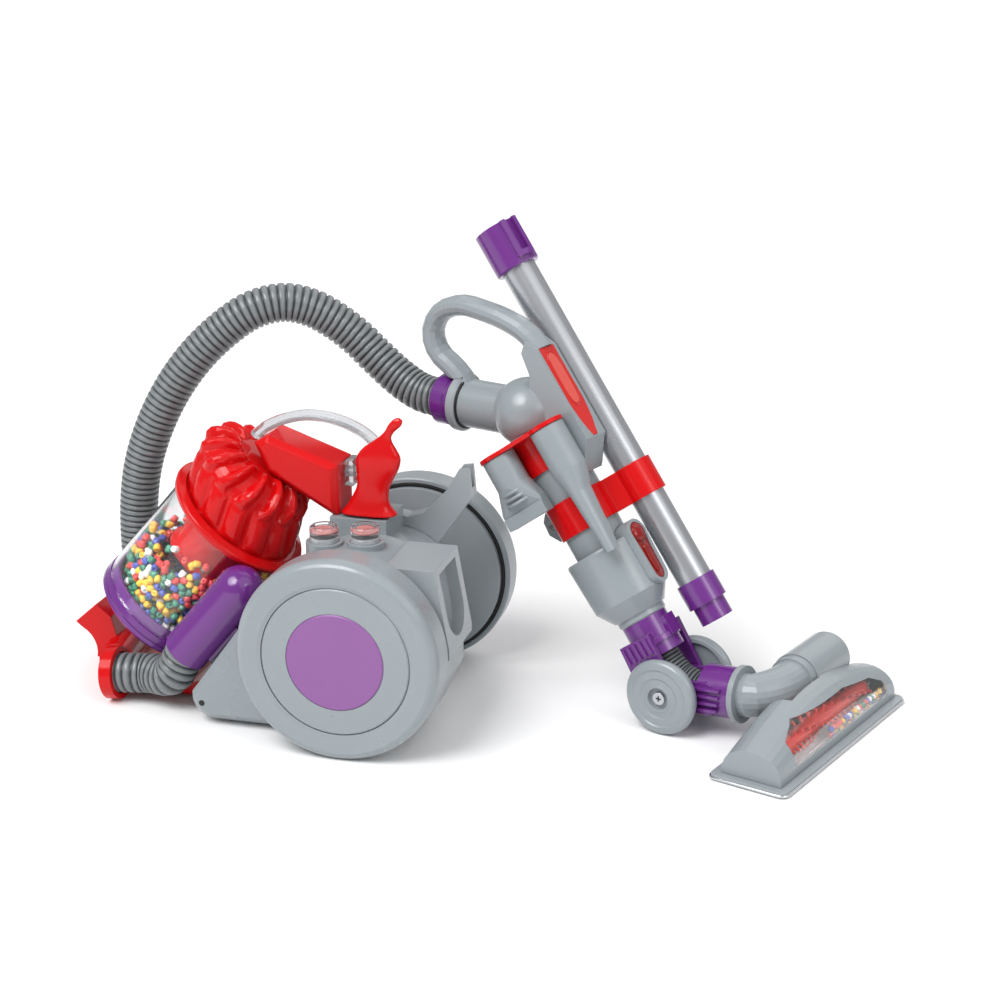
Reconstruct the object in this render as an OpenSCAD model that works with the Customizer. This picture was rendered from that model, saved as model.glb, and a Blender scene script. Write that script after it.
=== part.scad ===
// Toy vacuum cleaner: a wheeled canister with a clear bead bin, a ribbed hose,
// and a wand that stands on a jointed cleaner head.
// Canister places are measured from the middle of the wheel axle, wand places from
// the pivot of the cleaner head, and both stand on the floor at height zero.

/* [Large wheels] */
// Diameter of the large wheels
wheel_d = 142; // [134:1:150]
// Width of a large wheel
wheel_w = 26; // [22:1:30]
// Distance from the side of the lower housing to the inner edge of a large wheel
wheel_out = 6; // [5:0.5:10]
// Diameter of the hub cap in each large wheel
wheel_cap_d = 104; // [96:1:110]
// Diameter of the coloured disc in each hub cap
wheel_disc_d = 68; // [50:1:80]
// Diameter of the wheel axle
axle_d = 6; // [5:0.5:8]

/* [Canister body] */
// Width of the lower housing
body_w = 150; // [140:1:154]
// Radius of the drum between the wheels
drum_r = 62; // [59:0.5:63]
// Height of the underside above the floor
floor_gap = 4; // [3:0.5:6]
// Chamfer along the edges of the lower housing
body_chamfer = 5; // [2:0.5:8]
// Diameter of the two push buttons
button_d = 20; // [16:0.5:22]
// Travel of the two push buttons
button_travel = 3; // [2:0.5:3.5]

/* [Bead bin] */
// Outer diameter of the clear bin
bin_d = 97; // [92:0.5:98]
// Wall of the clear bin
bin_wall = 2; // [1.5:0.1:3]
// Length from the flange to the foot of the bin
bin_l = 103; // [98:1:108]
// Lean of the bin from the vertical
bin_lean = 40; // [38:0.5:42]
// Diameter of the flange that closes the bin
flange_d = 107; // [102:0.5:108]
// Diameter of the inner shroud
shroud_d = 58; // [50:1:68]
// Number of columns round the cyclone pack
cyclone_lobes = 14; // [10:1:18]
// Diameter of a bead
bead_d = 4.4; // [3:0.2:5]

/* [Hose] */
// Outer diameter of the ribbed hose
hose_d = 28.6; // [26:0.2:28.8]
// Depth of the ribs of the hose
hose_rib = 1.8; // [1:0.1:2.4]
// Wall of the hose under its ribs
hose_wall = 1.2; // [0.8:0.1:2]
// Distance between two ribs
hose_pitch = 4.4; // [4:0.1:7]

/* [Wand] */
// Lean of the wand from the vertical
wand_lean = 36.3; // [34:0.1:38]
// Outer diameter of the wand tube
wand_d = 42; // [38:0.5:43]
// Wall of the wand tube
wand_wall = 2.5; // [2:0.1:4]
// Diameter of the cup at its rim
cup_d = 59; // [56:0.5:62]
// Outer diameter of the extension tube
extension_d = 25; // [22:0.5:26]
// Length of the extension tube from end to end
extension_l = 317; // [290:1:330]
// Wall of the extension tube
extension_wall = 1.5; // [1:0.1:2.5]
// Diameter of the handle tube that takes the hose
handle_d = 35; // [34:0.5:37]
// Width of the grip
grip_w = 20; // [17:0.5:22]
// Travel of the trigger
trigger_travel = 2; // [1:0.25:2.25]

/* [Cleaner head] */
// Diameter of the two small wheels
head_wheel_d = 54; // [50:0.5:56]
// Thickness of a small wheel
head_wheel_w = 10; // [8:0.5:12]
// Width of the head across the floor
head_w = 190; // [176:1:200]
// Depth of the head from back to front
head_depth = 56; // [54:0.5:60]
// Thickness of the sole plate
sole_t = 4; // [3:0.5:6]
// Wall of the head cover
cover_wall = 2.5; // [2:0.1:3]
// Diameter of the brush roll over its teeth
brush_d = 19; // [16:0.5:20]

/* [Hidden] */
$fn = 64;

// Clearances
run = 0.05;     // radial clearance of a shaft that turns in a bore
gap = 0.3;      // clearance between neighbouring pieces
seat = 0.2;     // clearance of a fixed piece in its seat
cut = 1;        // overshoot of a cutting shape

// Colours
silver_gray = "#aab2bb";
light_gray = "#bcc3ca";
dark_gray = "#5b6066";
purple = "#7c4aa6";
lavender = "#9a68b5";
red = "#e02222";
clear_red = "#e8605a";
clear_plastic = [0.85, 0.88, 0.92, 0.35];
steel = "#c8c8cc";

// Places of the two halves of the toy
mid_x = 62.76;                  // middle of the footprint, behind the axle
mid_y = 5.71;
wand_x = 210.4;                 // pivot of the cleaner head
wand_y = 19.5;
wand_yaw = 19.4;
axle_z = wheel_d / 2;
pivot_z = head_wheel_d / 2;

module canister() translate([-mid_x, -mid_y, 0]) children();
module wand_floor() canister() translate([wand_x, wand_y, 0]) rotate([0, 0, -wand_yaw]) children();
module wand() wand_floor() translate([0, 0, pivot_z]) rotate([0, -wand_lean, 0]) children();

// Points of an arc in a plane
function arc(c, r, a0, a1, n) = [for (i = [0 : n]) let (a = a0 + (a1 - a0) * i / n) c + r * [cos(a),
    sin(a)]];
function unit(v) = v / norm(v);

// A smooth curve through points, its samples, and the length along it
function curve_point(p, t) =
    let (n = len(p) - 1, i = min(floor(t), n - 1), f = t - i)
    let (a = p[max(i - 1, 0)], b = p[i], c = p[i + 1], d = p[min(i + 2, n)])
    0.5 * (2 * b + (c - a) * f + (2 * a - 5 * b + 4 * c - d) * f * f + (3 * b - a - 3 * c + d) * f * f * f);
function curve(p, per) = [for (k = [0 : (len(p) - 1) * per]) curve_point(p, k / per)];
function lengths(s) =
    [for (i = 0, d = 0; i < len(s); d = d + (i + 1 < len(s) ? norm(s[i + 1] - s[i]) : 0), i = i + 1) d];
function along(s, table, d) = [for (axis = [0 : 2]) lookup(d, [for (i = [0 : len(s) - 1]) [table[i],
    s[i][axis]]])];

// Points spaced evenly along a smooth curve
function even_points(p, count) =
    let (s = curve(p, 12), table = lengths(s), total = table[len(table) - 1])
    [for (k = [0 : count]) along(s, table, total * k / count)];
function tangent(p, i) = unit(p[min(i + 1, len(p) - 1)] - p[max(i - 1, 0)]);

// A ring of points square to a direction, and a closed skin over a row of rings
function ring(c, t, side, r, n) =
    let (u = unit(cross(side, t)), v = cross(t, u))
    [for (k = [0 : n - 1]) c + r * (u * cos(360 * k / n) + v * sin(360 * k / n))];
function skin(m, n, first, flip) =
    [for (i = [0 : m - 2], k = [0 : n - 1], half = [0, 1])
        let (a = first + i * n + k, b = first + i * n + (k + 1) % n)
        let (f = half == 0 ? [a, a + n, b + n] : [a, b + n, b])
        flip ? [f[2], f[1], f[0]] : f];

module loft(rings) {
    m = len(rings);
    n = len(rings[0]);
    polyhedron(
        points = [for (r = rings) each r],
        faces = concat(
            [[for (k = [0 : n - 1]) k]],
            skin(m, n, 0, false),
            [[for (k = [n - 1 : -1 : 0]) (m - 1) * n + k]]));
}

// A tube with ribs outside and a smooth bore, along a smooth curve
module ribbed_tube(route, side, d, rib, wall, pitch, sides) {
    total = lengths(curve(route, 12));
    ribs = round(total[len(total) - 1] / pitch);
    outer = even_points(route, 2 * ribs);
    bore_step = 4;
    inner_count = ceil(2 * ribs / bore_step);
    inner = even_points(route, inner_count);
    m = len(outer);
    w = len(inner);
    points = concat(
        [for (i = [0 : m - 1]) each
            ring(outer[i], tangent(outer, i), side, d / 2 - (i % 2 == 0 ? rib : 0), sides)],
        [for (i = [0 : w - 1]) each ring(inner[i], tangent(inner, i), side, d / 2 - rib - wall, sides)]);
    first = m * sides;
    start_cap = [for (k = [0 : sides - 1], half = [0, 1])
        let (a = k, b = (k + 1) % sides)
        half == 0 ? [a, b, first + b] : [a, first + b, first + a]];
    end_cap = [for (k = [0 : sides - 1], half = [0, 1])
        let (a = (m - 1) * sides + k, b = (m - 1) * sides + (k + 1) % sides)
        let (c = first + (w - 1) * sides + k, d = first + (w - 1) * sides + (k + 1) % sides)
        half == 0 ? [b, a, c] : [b, c, d]];
    polyhedron(points, concat(skin(m, sides, 0, false), skin(w, sides, first, true), start_cap, end_cap));
}

// Large wheels

wheel_r = wheel_d / 2;
wheel_inside = body_w / 2 + wheel_out;  // plane of the inner edge of each wheel
track_w = 2 * (wheel_inside + wheel_w);
rim_wall = 3.5;
rim_round = 8;
face_t = 4;
disc_t = 2.5;
hub_r = 10;
side_disc_r = wheel_r - rim_wall - 3;
side_disc_t = 6;
axle_end = face_t;                      // from the outer face of a wheel to the end of the axle

module wheel_place(side)
    canister() translate([0, side * wheel_inside, axle_z]) rotate([side > 0 ? -90 : 90, 0, 0]) children();

module wheel_rim() color(silver_gray) {
    cap_r = wheel_cap_d / 2;
    rotate_extrude() polygon(concat(
        [[wheel_r - rim_wall, 0], [wheel_r - 1, 0], [wheel_r, 1]],
        arc([wheel_r - rim_round, wheel_w - rim_round + 1], rim_round, 0, 75, 5),
        [[cap_r + 3, wheel_w], [cap_r + seat, wheel_w - 1], [cap_r + seat, wheel_w - face_t]],
        [[wheel_r - rim_wall - rim_round, wheel_w - face_t], [wheel_r - rim_wall,
            wheel_w - face_t - rim_round]]));
}

module wheel_cap() color(silver_gray) {
    cap_r = wheel_cap_d / 2;
    disc_r = wheel_disc_d / 2;
    ledge = 4;
    rotate_extrude() polygon([
        [axle_d / 2 + run, 2], [hub_r, 2], [hub_r, wheel_w - 2 * face_t], [cap_r + ledge,
            wheel_w - 2 * face_t],
        [cap_r + ledge, wheel_w - face_t], [cap_r - seat, wheel_w - face_t], [cap_r - seat, wheel_w - 1.6],
        [cap_r - 1.2, wheel_w - 0.6], [disc_r + seat, wheel_w - 0.6], [disc_r + seat, wheel_w - disc_t],
        [axle_d / 2 + run, wheel_w - disc_t]]);
}

module wheel_disc() color(lavender) {
    disc_r = wheel_disc_d / 2;
    rotate_extrude() polygon([
        [0, wheel_w - disc_t], [disc_r, wheel_w - disc_t], [disc_r, wheel_w - 0.8], [disc_r - 1,
            wheel_w], [0, wheel_w]]);
}

module wheel_rim_near() wheel_place(-1) wheel_rim();
module wheel_cap_near() wheel_place(-1) wheel_cap();
module wheel_disc_near() wheel_place(-1) wheel_disc();
module wheel_rim_far() wheel_place(1) wheel_rim();
module wheel_cap_far() wheel_place(1) wheel_cap();
module wheel_disc_far() wheel_place(1) wheel_disc();

module side_discs() color(light_gray)
    for (side = [-1, 1]) wheel_place(side) difference() {
        translate([0, 0, 2 - gap - side_disc_t]) cylinder(r = side_disc_r, h = side_disc_t);
        translate([0, 0, -side_disc_t]) cylinder(d = axle_d + 2 * seat, h = 2 * side_disc_t);
    }

module axle() color(steel) {
    l = track_w - 2 * axle_end;
    canister() translate([0, 0, axle_z]) rotate([90, 0, 0]) cylinder(d = axle_d, h = l, center = true);
}

// Canister body, with heights measured from the axle

base_top = -11;                 // parting plane between the two housings
nose_x = -119;
nose_z = 22;                    // above the floor
cheek_x = -71;
cheek_rise = 17;
rear_x = 64;
near_wall = -wheel_inside + side_disc_t + gap;  // inner face of the near side disc, in Y
drum_near = near_wall + gap - 2;
drum_mid = -20;                 // step between the near drum and the middle drum
drum_far = 26;
mid_drop = 6;                   // the middle drum is smaller by this much
hub_far_r = 30;
open_x = 34;
runner_x = -98;                 // two runners carry the front of the canister
runner_y = 48;
runner_w = 8;
runner_l = 22;
bay_x = [-62, -4];
bay_w = 52;
bay_h = 20;
door_t = 2.5;
battery_d = 14.2;
battery_l = 50;

module side_outline() polygon(concat(
    arc([nose_x + 16, floor_gap + 16], 16, 170, 270, 5),
    [[rear_x - 26, floor_gap], [rear_x - 14, floor_gap + 14], [rear_x, axle_z - 24], [rear_x, axle_z
        + base_top],
     [-drum_r + 4, axle_z + cheek_rise], [cheek_x, axle_z + cheek_rise]]));

module side_slab(w, inset) translate([0, w / 2, 0]) rotate([90, 0, 0])
    linear_extrude(w) offset(delta = -inset) side_outline();

module drum_cut(r, y0, y1) translate([0, y0, axle_z]) rotate([-90, 0, 0]) cylinder(r = r, h = y1 - y0);

module base_housing() color(silver_gray) canister() difference() {
    union() {
        hull() {
            side_slab(body_w, body_chamfer);
            side_slab(body_w - 2 * body_chamfer, 0);
        }
        cradle();
        for (y = [-runner_y, runner_y]) translate([runner_x, y - runner_w / 2, 0]) cube([runner_l,
            runner_w, floor_gap + 2]);
    }
    difference() {
        drum_cut(drum_r + gap, -body_w, body_w);
        translate([-wheel_d, -body_w, 0]) cube([2 * wheel_d, 2 * body_w, axle_z + base_top]);
    }
    translate([0, -body_w, axle_z + base_top]) cube([wheel_d, 2 * body_w, wheel_d]);
    bin_clearance();
    rotate([90, 0, 0]) translate([0, axle_z, 0]) cylinder(d = axle_d + 2 * seat, h = 2 * body_w,
        center = true);
    translate([bay_x[0], -bay_w / 2, floor_gap - cut]) cube([bay_x[1] - bay_x[0], bay_w, bay_h + cut]);
    rear_gap();
}

// The open space behind the drum, in front of the far wheel
module rear_gap() translate([open_x, drum_mid + seat, 0]) cube([wheel_d, body_w, 2 * wheel_d]);

// The saddle that carries the bin, behind its lower wall
module cradle() intersection() {
    bin_local() translate([bin_d / 2 - 12, -cradle_w / 2, -bin_l + 14]) cube([32, cradle_w, bin_l - 34]);
    translate([-wheel_d * 2, -body_w, floor_gap]) cube([wheel_d * 2 - 40, 2 * body_w, axle_z]);
}

module top_housing() color(silver_gray) canister() difference() {
    union() {
        drum_cut(drum_r, drum_near, drum_mid);
        drum_cut(drum_r - mid_drop, drum_mid, drum_far);
        drum_cut(hub_far_r, drum_far, -near_wall - gap);
        translate([pedestal_x[0], -pedestal_w / 2, axle_z]) cube([pedestal_x[1] - pedestal_x[0],
            pedestal_w, pedestal_rise]);
        for (k = [0, 1]) button_place(k) translate([0, 0, -boss_rise[k]]) cylinder(r = boss_r,
            h = boss_rise[k]);
    }
    translate([-wheel_d, -track_w, 0]) cube([2 * wheel_d, 2 * track_w, axle_z + base_top + seat]);
    translate([block_x[0] - seat, block_y[0] - seat - 20, 0]) cube([wheel_d, block_y[1] - block_y[0]
        + 2 * seat + 20, wheel_d * 2]);
    for (k = [0, 1]) button_place(k) translate([0, 0, -bore_depth]) cylinder(d = button_d + 2 * gap,
        h = bore_depth + cut);
    rear_gap();
    lever_pocket();
    translate([0, 0, axle_z]) rotate([90, 0, 0]) cylinder(d = axle_d + 2 * seat, h = 2 * body_w,
        center = true);
}

// Push buttons on the near drum

button_x = [-27, 2.5];
button_y = -45;
boss_r = button_d / 2 + 2.7;
boss_rise = [62.5, 65];         // tops of the bosses over the axle
bore_depth = 12;
button_up = 11;                 // height of a button over its boss
button_skirt = 4;
switch_h = 4;

module button_place(k) translate([button_x[k], button_y, axle_z + boss_rise[k]]) children();

module push_button(k) color(clear_red) canister() button_place(k)
    rotate_extrude() polygon([
        [0, -button_skirt], [button_d / 2, -button_skirt], [button_d / 2, button_up - 1],
        [button_d / 2 - 1, button_up], [button_d / 2 - 2.5, button_up], [button_d / 2 - 2.5,
            button_up - 1.5],
        [0, button_up - 1.5]]);
module power_button() push_button(0);
module rewind_button() push_button(1);

module button_switches() color(dark_gray) canister()
    for (k = [0, 1]) button_place(k) translate([0, 0, -bore_depth]) cylinder(r = 4, h = switch_h);

// Wand dock: a block with a channel on the near side, and an arm on the far side

block_x = [25, 60, 70];         // front, top edge and foot of the block
block_slope = 10;
block_y = [-body_w / 2, drum_mid];
block_rise = 58.5;
channel_w = 38;
channel_depth = 9;
channel_l = 54;
slot_w = 6;
slot_depth = 8;
arm_y = [20, 34];

module dock_block() color(light_gray) canister() difference() {
    z0 = axle_z + base_top + seat;
    z1 = axle_z + block_rise;
    y_mid = (block_y[0] + block_y[1]) / 2;
    translate([0, block_y[1], 0]) rotate([90, 0, 0]) linear_extrude(block_y[1] - block_y[0])
        polygon([[block_x[0], z0], [block_x[0], z1], [block_x[1], z1], [block_x[2], z0 + 14],
            [block_x[2], z0 + 8], [block_x[2] - 6, z0]]);
    translate([block_x[1], y_mid, z1]) rotate([0, -block_slope, 0]) {
        translate([-channel_depth, 0, -channel_l]) rotate([90, 0, 90]) linear_extrude(3 * channel_depth) {
            translate([0, channel_w / 2]) circle(d = channel_w);
            translate([-channel_w / 2, channel_w / 2]) square([channel_w, channel_l - channel_w / 2 - 5]);
        }
        translate([-channel_depth - slot_depth, -slot_w / 2, -channel_l + 9]) cube([slot_depth + cut,
            slot_w, channel_l - 22]);
    }
}

module dock_arm() color(light_gray) canister() difference() {
    translate([0, arm_y[1], axle_z]) rotate([90, 0, 0]) linear_extrude(arm_y[1] - arm_y[0])
        polygon([[-8, 65], [12, 62], [24, 66], [41, 84], [50, 100], [57, 101], [59, 80], [53, 71],
            [34, 44], [20, 38], [-8, 45]]);
    drum_cut(drum_r - mid_drop + seat, arm_y[0] - cut, arm_y[1] + cut);
    translate([48, arm_y[0] + 4, axle_z + 86]) cube([20, arm_y[1] - arm_y[0] - 8, 20]);
}

// Battery bay

module battery_door() color(silver_gray) canister()
    translate([bay_x[0] + gap, -bay_w / 2 + gap, floor_gap])
        cube([bay_x[1] - bay_x[0] - 2 * gap, bay_w - 2 * gap, door_t]);

module batteries() color("#3c6e71") canister()
    for (k = [-1 : 1])
        translate([(bay_x[0] + bay_x[1]) / 2, k * (battery_d + 1), floor_gap + door_t + battery_d / 2
            + seat])
            rotate([0, 90, 0]) cylinder(d = battery_d, h = battery_l, center = true);

// Bead bin, along its own leaning axis from the middle of its flange

bin_x = -107.4;
bin_rise = 58.5;                // middle of the flange over the axle
bin_r = bin_d / 2;
bin_in = bin_r - bin_wall;
base_r = bin_r + 1;
base_h = 12;
flange_r = flange_d / 2;
flange_t = 3;
lip = 2.5;                      // the flange reaches this far down over the bin
spigot_h = 8;
shroud_l = 44;
shroud_taper = 3;
shroud_wall = 2;
shroud_rim = 3;
motor_d = 22;
motor_l = 28;
shaft_r = 1.5;
paddle_r = 27;
paddle_h = 10;
cradle_w = 56;

module bin_local() translate([bin_x, 0, axle_z + bin_rise]) rotate([0, bin_lean, 0]) children();
module bin() canister() bin_local() children();

module bin_clearance() bin_local() {
    translate([0, 0, -bin_l - 40]) cylinder(r = base_r + gap, h = bin_l + 40);
    translate([0, 0, -lip - gap]) cylinder(r = flange_r + gap + 1, h = 100);
}

module dust_bin() color(clear_plastic) bin()
    rotate_extrude() polygon([
        [bin_in, -bin_l + base_h], [bin_r, -bin_l + base_h], [bin_r, -lip], [bin_r - 0.5, 0], [bin_in, 0]]);

module bin_base() color(purple) bin()
    rotate_extrude() polygon([
        [0, -bin_l], [base_r - 3, -bin_l], [base_r, -bin_l + 3], [base_r, -bin_l + 6], [base_r - 0.8,
            -bin_l + 6.4],
        [base_r - 0.8, -bin_l + 7.2], [base_r, -bin_l + 7.6], [base_r - 0.4, -bin_l + base_h],
            [bin_in - seat, -bin_l + base_h],
        [bin_in - seat, -bin_l + base_h + spigot_h], [bin_in - 2, -bin_l + base_h + spigot_h],
        [bin_in - 2, -bin_l + 4], [0, -bin_l + 4]]);

module bin_flange() color(red) bin()
    rotate_extrude() polygon(concat(
        [[0, 0], [bin_r + seat, 0], [bin_r + seat, -lip], [flange_r - 1, -lip]],
        arc([flange_r - 2, 0.5], 2, -30, 80, 4),
        [[bin_r - 1, flange_t + 1.2], [bin_r - 1.5, flange_t], [0, flange_t]]));

module bin_shroud() color(red) bin() {
    top_r = shroud_d / 2;
    foot_r = top_r - shroud_taper;
    rotate_extrude() polygon([
        [shaft_r + 0.5, -shroud_l], [foot_r + shroud_rim, -shroud_l], [foot_r + shroud_rim, -shroud_l
            + 3], [foot_r, -shroud_l + 5],
        [top_r, -seat], [top_r - shroud_wall, -seat], [foot_r - shroud_wall, -shroud_l + 3], [shaft_r
            + 0.5, -shroud_l + 3]]);
}

module bead_motor() color(steel) bin() translate([0, 0, -shroud_l + 3]) difference() {
    cylinder(d = motor_d, h = motor_l);
    translate([0, 0, -cut]) cylinder(r = shaft_r + run, h = motor_l - 4);
}

module bead_impeller() color(dark_gray) bin() {
    top = -shroud_l - 1;
    translate([0, 0, top - paddle_h]) cylinder(r = shaft_r, h = paddle_h + 16);
    translate([0, 0, top - paddle_h]) cylinder(r = 6, h = paddle_h);
    for (k = [0 : 1]) rotate([0, 0, 90 * k]) translate([-paddle_r, -1, top - paddle_h])
        cube([2 * paddle_r, 2, paddle_h]);
}

bead_rings = 4;
beads_per_ring = 12;
bead_step = 13;

module bin_beads() color("gold") bin()
    for (i = [0 : bead_rings - 1], k = [0 : beads_per_ring - 1])
        rotate([0, 0, (k + i / 2) * 360 / beads_per_ring])
            translate([bin_in - seat - bead_d, 0, -bin_l + base_h + spigot_h + bead_d + i * bead_step])
                rotate([0, 90, 0]) cylinder(d = bead_d, h = bead_d, $fn = 8);

// Cyclone pack: one moulded skin with a ring of columns under a crown of looped knuckles

pack_r = bin_r - 3;
pack_lean = -12;                // the crown leans this far towards the front
column_depth = 7;
knuckle_h = 6;                // height of a knuckle over the shoulder
knuckle_swirl = 16;             // degrees that a knuckle turns on its way to the crown
points_per_column = 9;
crown_h = 45;
pack_h = crown_h + knuckle_h;

// Rows of the skin: radius, height, depth of the columns, height of the knuckles
pack_rows = [
    [pack_r - 1.5, 0, 0, 0], [pack_r - 1.6, 2.5, 0.55, 0], [pack_r - 1.8, 5, 0.85, 0],
        [pack_r - 2, 9, 1, 0],
    [pack_r - 2.4, 16, 1, 0], [pack_r - 2.8, 21.5, 0.9, 0], [pack_r - 3.2, 25, 0.6, 0],
    [pack_r - 3.6, 27, 0.25, 0.4], [pack_r - 4.4, 29.8, 0, 0.8], [pack_r - 6, 33.4, 0, 1],
    [pack_r - 8.6, 37, 0, 1], [pack_r - 12.4, 40.2, 0, 1], [pack_r - 17, 42.5, 0, 0.95],
    [pack_r - 21, 43.8, 0, 0.8], [pack_r - 24, 44.5, 0, 0.45], [pack_r - 26.5, crown_h, 0, 0]];
function pack_shift(z) = pack_lean * lookup(z, [[0, 0], [30, 0.92], [46, 1]]);

// Direction that faces out of the skin at a row
function pack_out(i) =
    let (a = pack_rows[max(i - 1, 0)], b = pack_rows[min(i + 1, len(pack_rows) - 1)])
    unit([b[1] - a[1], a[0] - b[0]]);
function rounded(c) = sqrt(max(0, c));
function pack_swell(i, a) =
    let (row = pack_rows[i], share = max(0, i - 7) / (len(pack_rows) - 8))
    let (column = rounded(abs(cos(cyclone_lobes * a / 2))) - 0.55)
    let (bump = rounded((cos(cyclone_lobes * (a - knuckle_swirl * share)) + 0.1) / 1.1))
    column_depth * row[2] * column + knuckle_h * row[3] * bump;
function pack_ring(i) =
    let (row = pack_rows[i], out = pack_out(i), n = cyclone_lobes * points_per_column)
    [for (k = [0 : n - 1])
        let (a = 360 * k / n, h = pack_swell(i, a), r = row[0] + out[0] * h)
        [r * cos(a) + pack_shift(row[1]), r * sin(a), flange_t + row[1] + (row[3] > 0 ? out[1] * h : 0)]];

module cyclone_pack() color(red) difference() {
    bin() loft([for (i = [0 : len(pack_rows) - 1]) pack_ring(i)]);
    canister() duct_solid(gap);
}

// Red duct from the crown to the back, with the clear carry handle over it

duct_w = 36;
duct_chamfer = 4;
pedestal_x = [-32, 9];
pedestal_w = 39.4;
pedestal_rise = 71;
duct_outline = [[-88, 119], [-78, 125], [-27, 107], [-27, pedestal_rise], [-31, pedestal_rise], [-78, 98]];

module duct_slab(w, inset, grow) translate([0, w / 2, axle_z]) rotate([90, 0, 0])
    linear_extrude(w) offset(delta = grow - inset) polygon(duct_outline);
module duct_solid(grow) hull() {
    duct_slab(duct_w + 2 * grow, duct_chamfer, grow);
    duct_slab(duct_w - 2 * duct_chamfer + 2 * grow, 0, grow);
}
module top_duct() color(red) canister() difference() {
    duct_solid(0);
    lever_pocket();
}

handle_w = 11;
handle_t = 8;
handle_y = 5.5;                 // the handle passes the lever on its far side
handle_sides = 12;
handle_rings = 25;
handle_path = [[-96, 0, 117], [-87, 0, 125], [-72, 0, 132], [-54, 0, 136], [-34, 0, 134],
    [-16, 0, 127], [-5, 0, 117],
    [-8, 0, 105], [-18, 0, 99], [-28, 0, 98]];

// An oval section square to a path in the upright middle plane
function oval(c, t, w, h, n) =
    let (up = [-t.z, 0, t.x])
    [for (k = [0 : n - 1]) c + [0, 1, 0] * w / 2 * cos(360 * k / n) + up * h / 2 * sin(360 * k / n)];

module carry_handle() color(clear_plastic) canister() difference() {
    p = even_points(handle_path, handle_rings - 1);
    translate([0, handle_y, axle_z])
        loft([for (i = [0 : handle_rings - 1]) oval(p[i], tangent(p, i), handle_w, handle_t,
            handle_sides)]);
    duct_solid(seat);
    bin_local() cylinder(r = pack_r + 1, h = flange_t + crown_h - 8);
    bin_local() translate([pack_lean, 0, 0]) cylinder(r = pack_r - 4, h = flange_t + pack_h + seat);
}

// Red release lever at the end of the duct: a curled leaf on a flared foot

lever_x = -4;
lever_y = -10;
lever_pin_d = 5;
lever_pin_rise = pedestal_rise - 4;
lever_hub_r = 5;
lever_hub_w = 10;
lever_pin_l = 16;
lever_sides = 20;
// Rows of height over the pedestal, offset along X, half length and half width
lever_rows = [[2, -3, 19, 13], [4, -2.5, 18, 11.5], [9, -2, 16, 9.5], [14, -1, 14.5, 8.5],
    [21, 1.5, 12, 7], [28, 3, 13, 6.5],
    [36, 4.5, 15, 6], [43, 5.5, 15.5, 5.5], [49, 6, 12, 5], [54, 8, 7.5, 4], [58, 10.5, 4.5, 3.4],
        [62, 13.5, 3.6, 3.2],
    [66, 17, 4.2, 3.8], [69.5, 19, 3.6, 3.4], [71.5, 19.5, 1.6, 1.6]];

function lever_ring(row) = [for (k = [0 : lever_sides - 1])
    let (a = 360 * k / lever_sides, scoop = 0.35 * pow(max(0, -sin(a)), 2))
    [row[1] + row[2] * cos(a), row[3] * sin(a) * (1 - scoop * 1.6), pedestal_rise + row[0]]];

module release_lever() color(red) canister() translate([lever_x, lever_y, axle_z]) difference() {
    union() {
        loft([for (row = lever_rows) lever_ring(row)]);
        translate([0, lever_hub_w / 2, lever_pin_rise]) rotate([90, 0, 0]) cylinder(r = lever_hub_r,
            h = lever_hub_w);
        translate([-3, -lever_hub_w / 2, lever_pin_rise]) cube([6, lever_hub_w, pedestal_rise
            + 8 - lever_pin_rise]);
    }
    translate([0, lever_hub_w, lever_pin_rise]) rotate([90, 0, 0]) cylinder(d = lever_pin_d + 2 * run,
        h = 2 * lever_hub_w);
}

module lever_pin() color(steel) canister() translate([lever_x, lever_y, axle_z + lever_pin_rise])
    rotate([90, 0, 0]) cylinder(d = lever_pin_d, h = lever_pin_l, center = true);

module lever_pocket() translate([lever_x, lever_y, axle_z]) {
    translate([-lever_hub_r - 4, -lever_hub_w / 2 - gap, lever_pin_rise - lever_hub_r - 1])
        cube([2 * lever_hub_r + 8, lever_hub_w + 2 * gap, 30]);
    translate([0, 0, lever_pin_rise]) rotate([90, 0, 0]) cylinder(d = lever_pin_d + 2 * seat,
        h = lever_pin_l + 2 * seat, center = true);
}

// Purple inlet duct beside the bin, the short hose and the red inlet at the front

duct_r = 16.8;
duct_side = 37.5;               // under the bin's axis
duct_y = -55;
duct_top = -12;
duct_foot = -78;
socket_r = 14.9;
short_hose_d = 29;
short_hose_l = 29;              // straight length of the short hose at each end
dish_depth = 5;                 // depth of the near mouth of the inlet
inlet_z = 20.5;
inlet_r = 17.5;
cross_r = 13;
inlet_near = [-196, -28];
near_end = [-189, -46, 19.3];     // end of the short hose in the near mouth
near_tilt = 5;
inlet_far = [-212, 57];
mouth_r = 19;
mouth_z = 47;
inlet_end_z = inlet_z - 1;

function from_bin(p) = [
    bin_x + p.x * cos(bin_lean) + p.z * sin(bin_lean),
    p.y,
    axle_z + bin_rise - p.x * sin(bin_lean) + p.z * cos(bin_lean)];

module inlet_duct() color(purple) bin() difference() {
    union() {
        translate([duct_side, duct_y, duct_foot]) cylinder(r = duct_r, h = duct_top - duct_foot);
        translate([duct_side, duct_y, duct_top]) sphere(r = duct_r);
        translate([duct_side, duct_y - 5, duct_foot + 10]) cube([duct_r + 1.4, 10, 34]);
    }
    translate([duct_side, duct_y, duct_foot - cut]) cylinder(r = socket_r, h = short_hose_l + cut);
}

// A place on the axis of the near mouth
function near_point(d) = near_end + d * [cos(near_tilt), 0, sin(near_tilt)];
module near_mouth(d) translate(near_point(d)) rotate([0, 90 - near_tilt, 0]) children();

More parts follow.
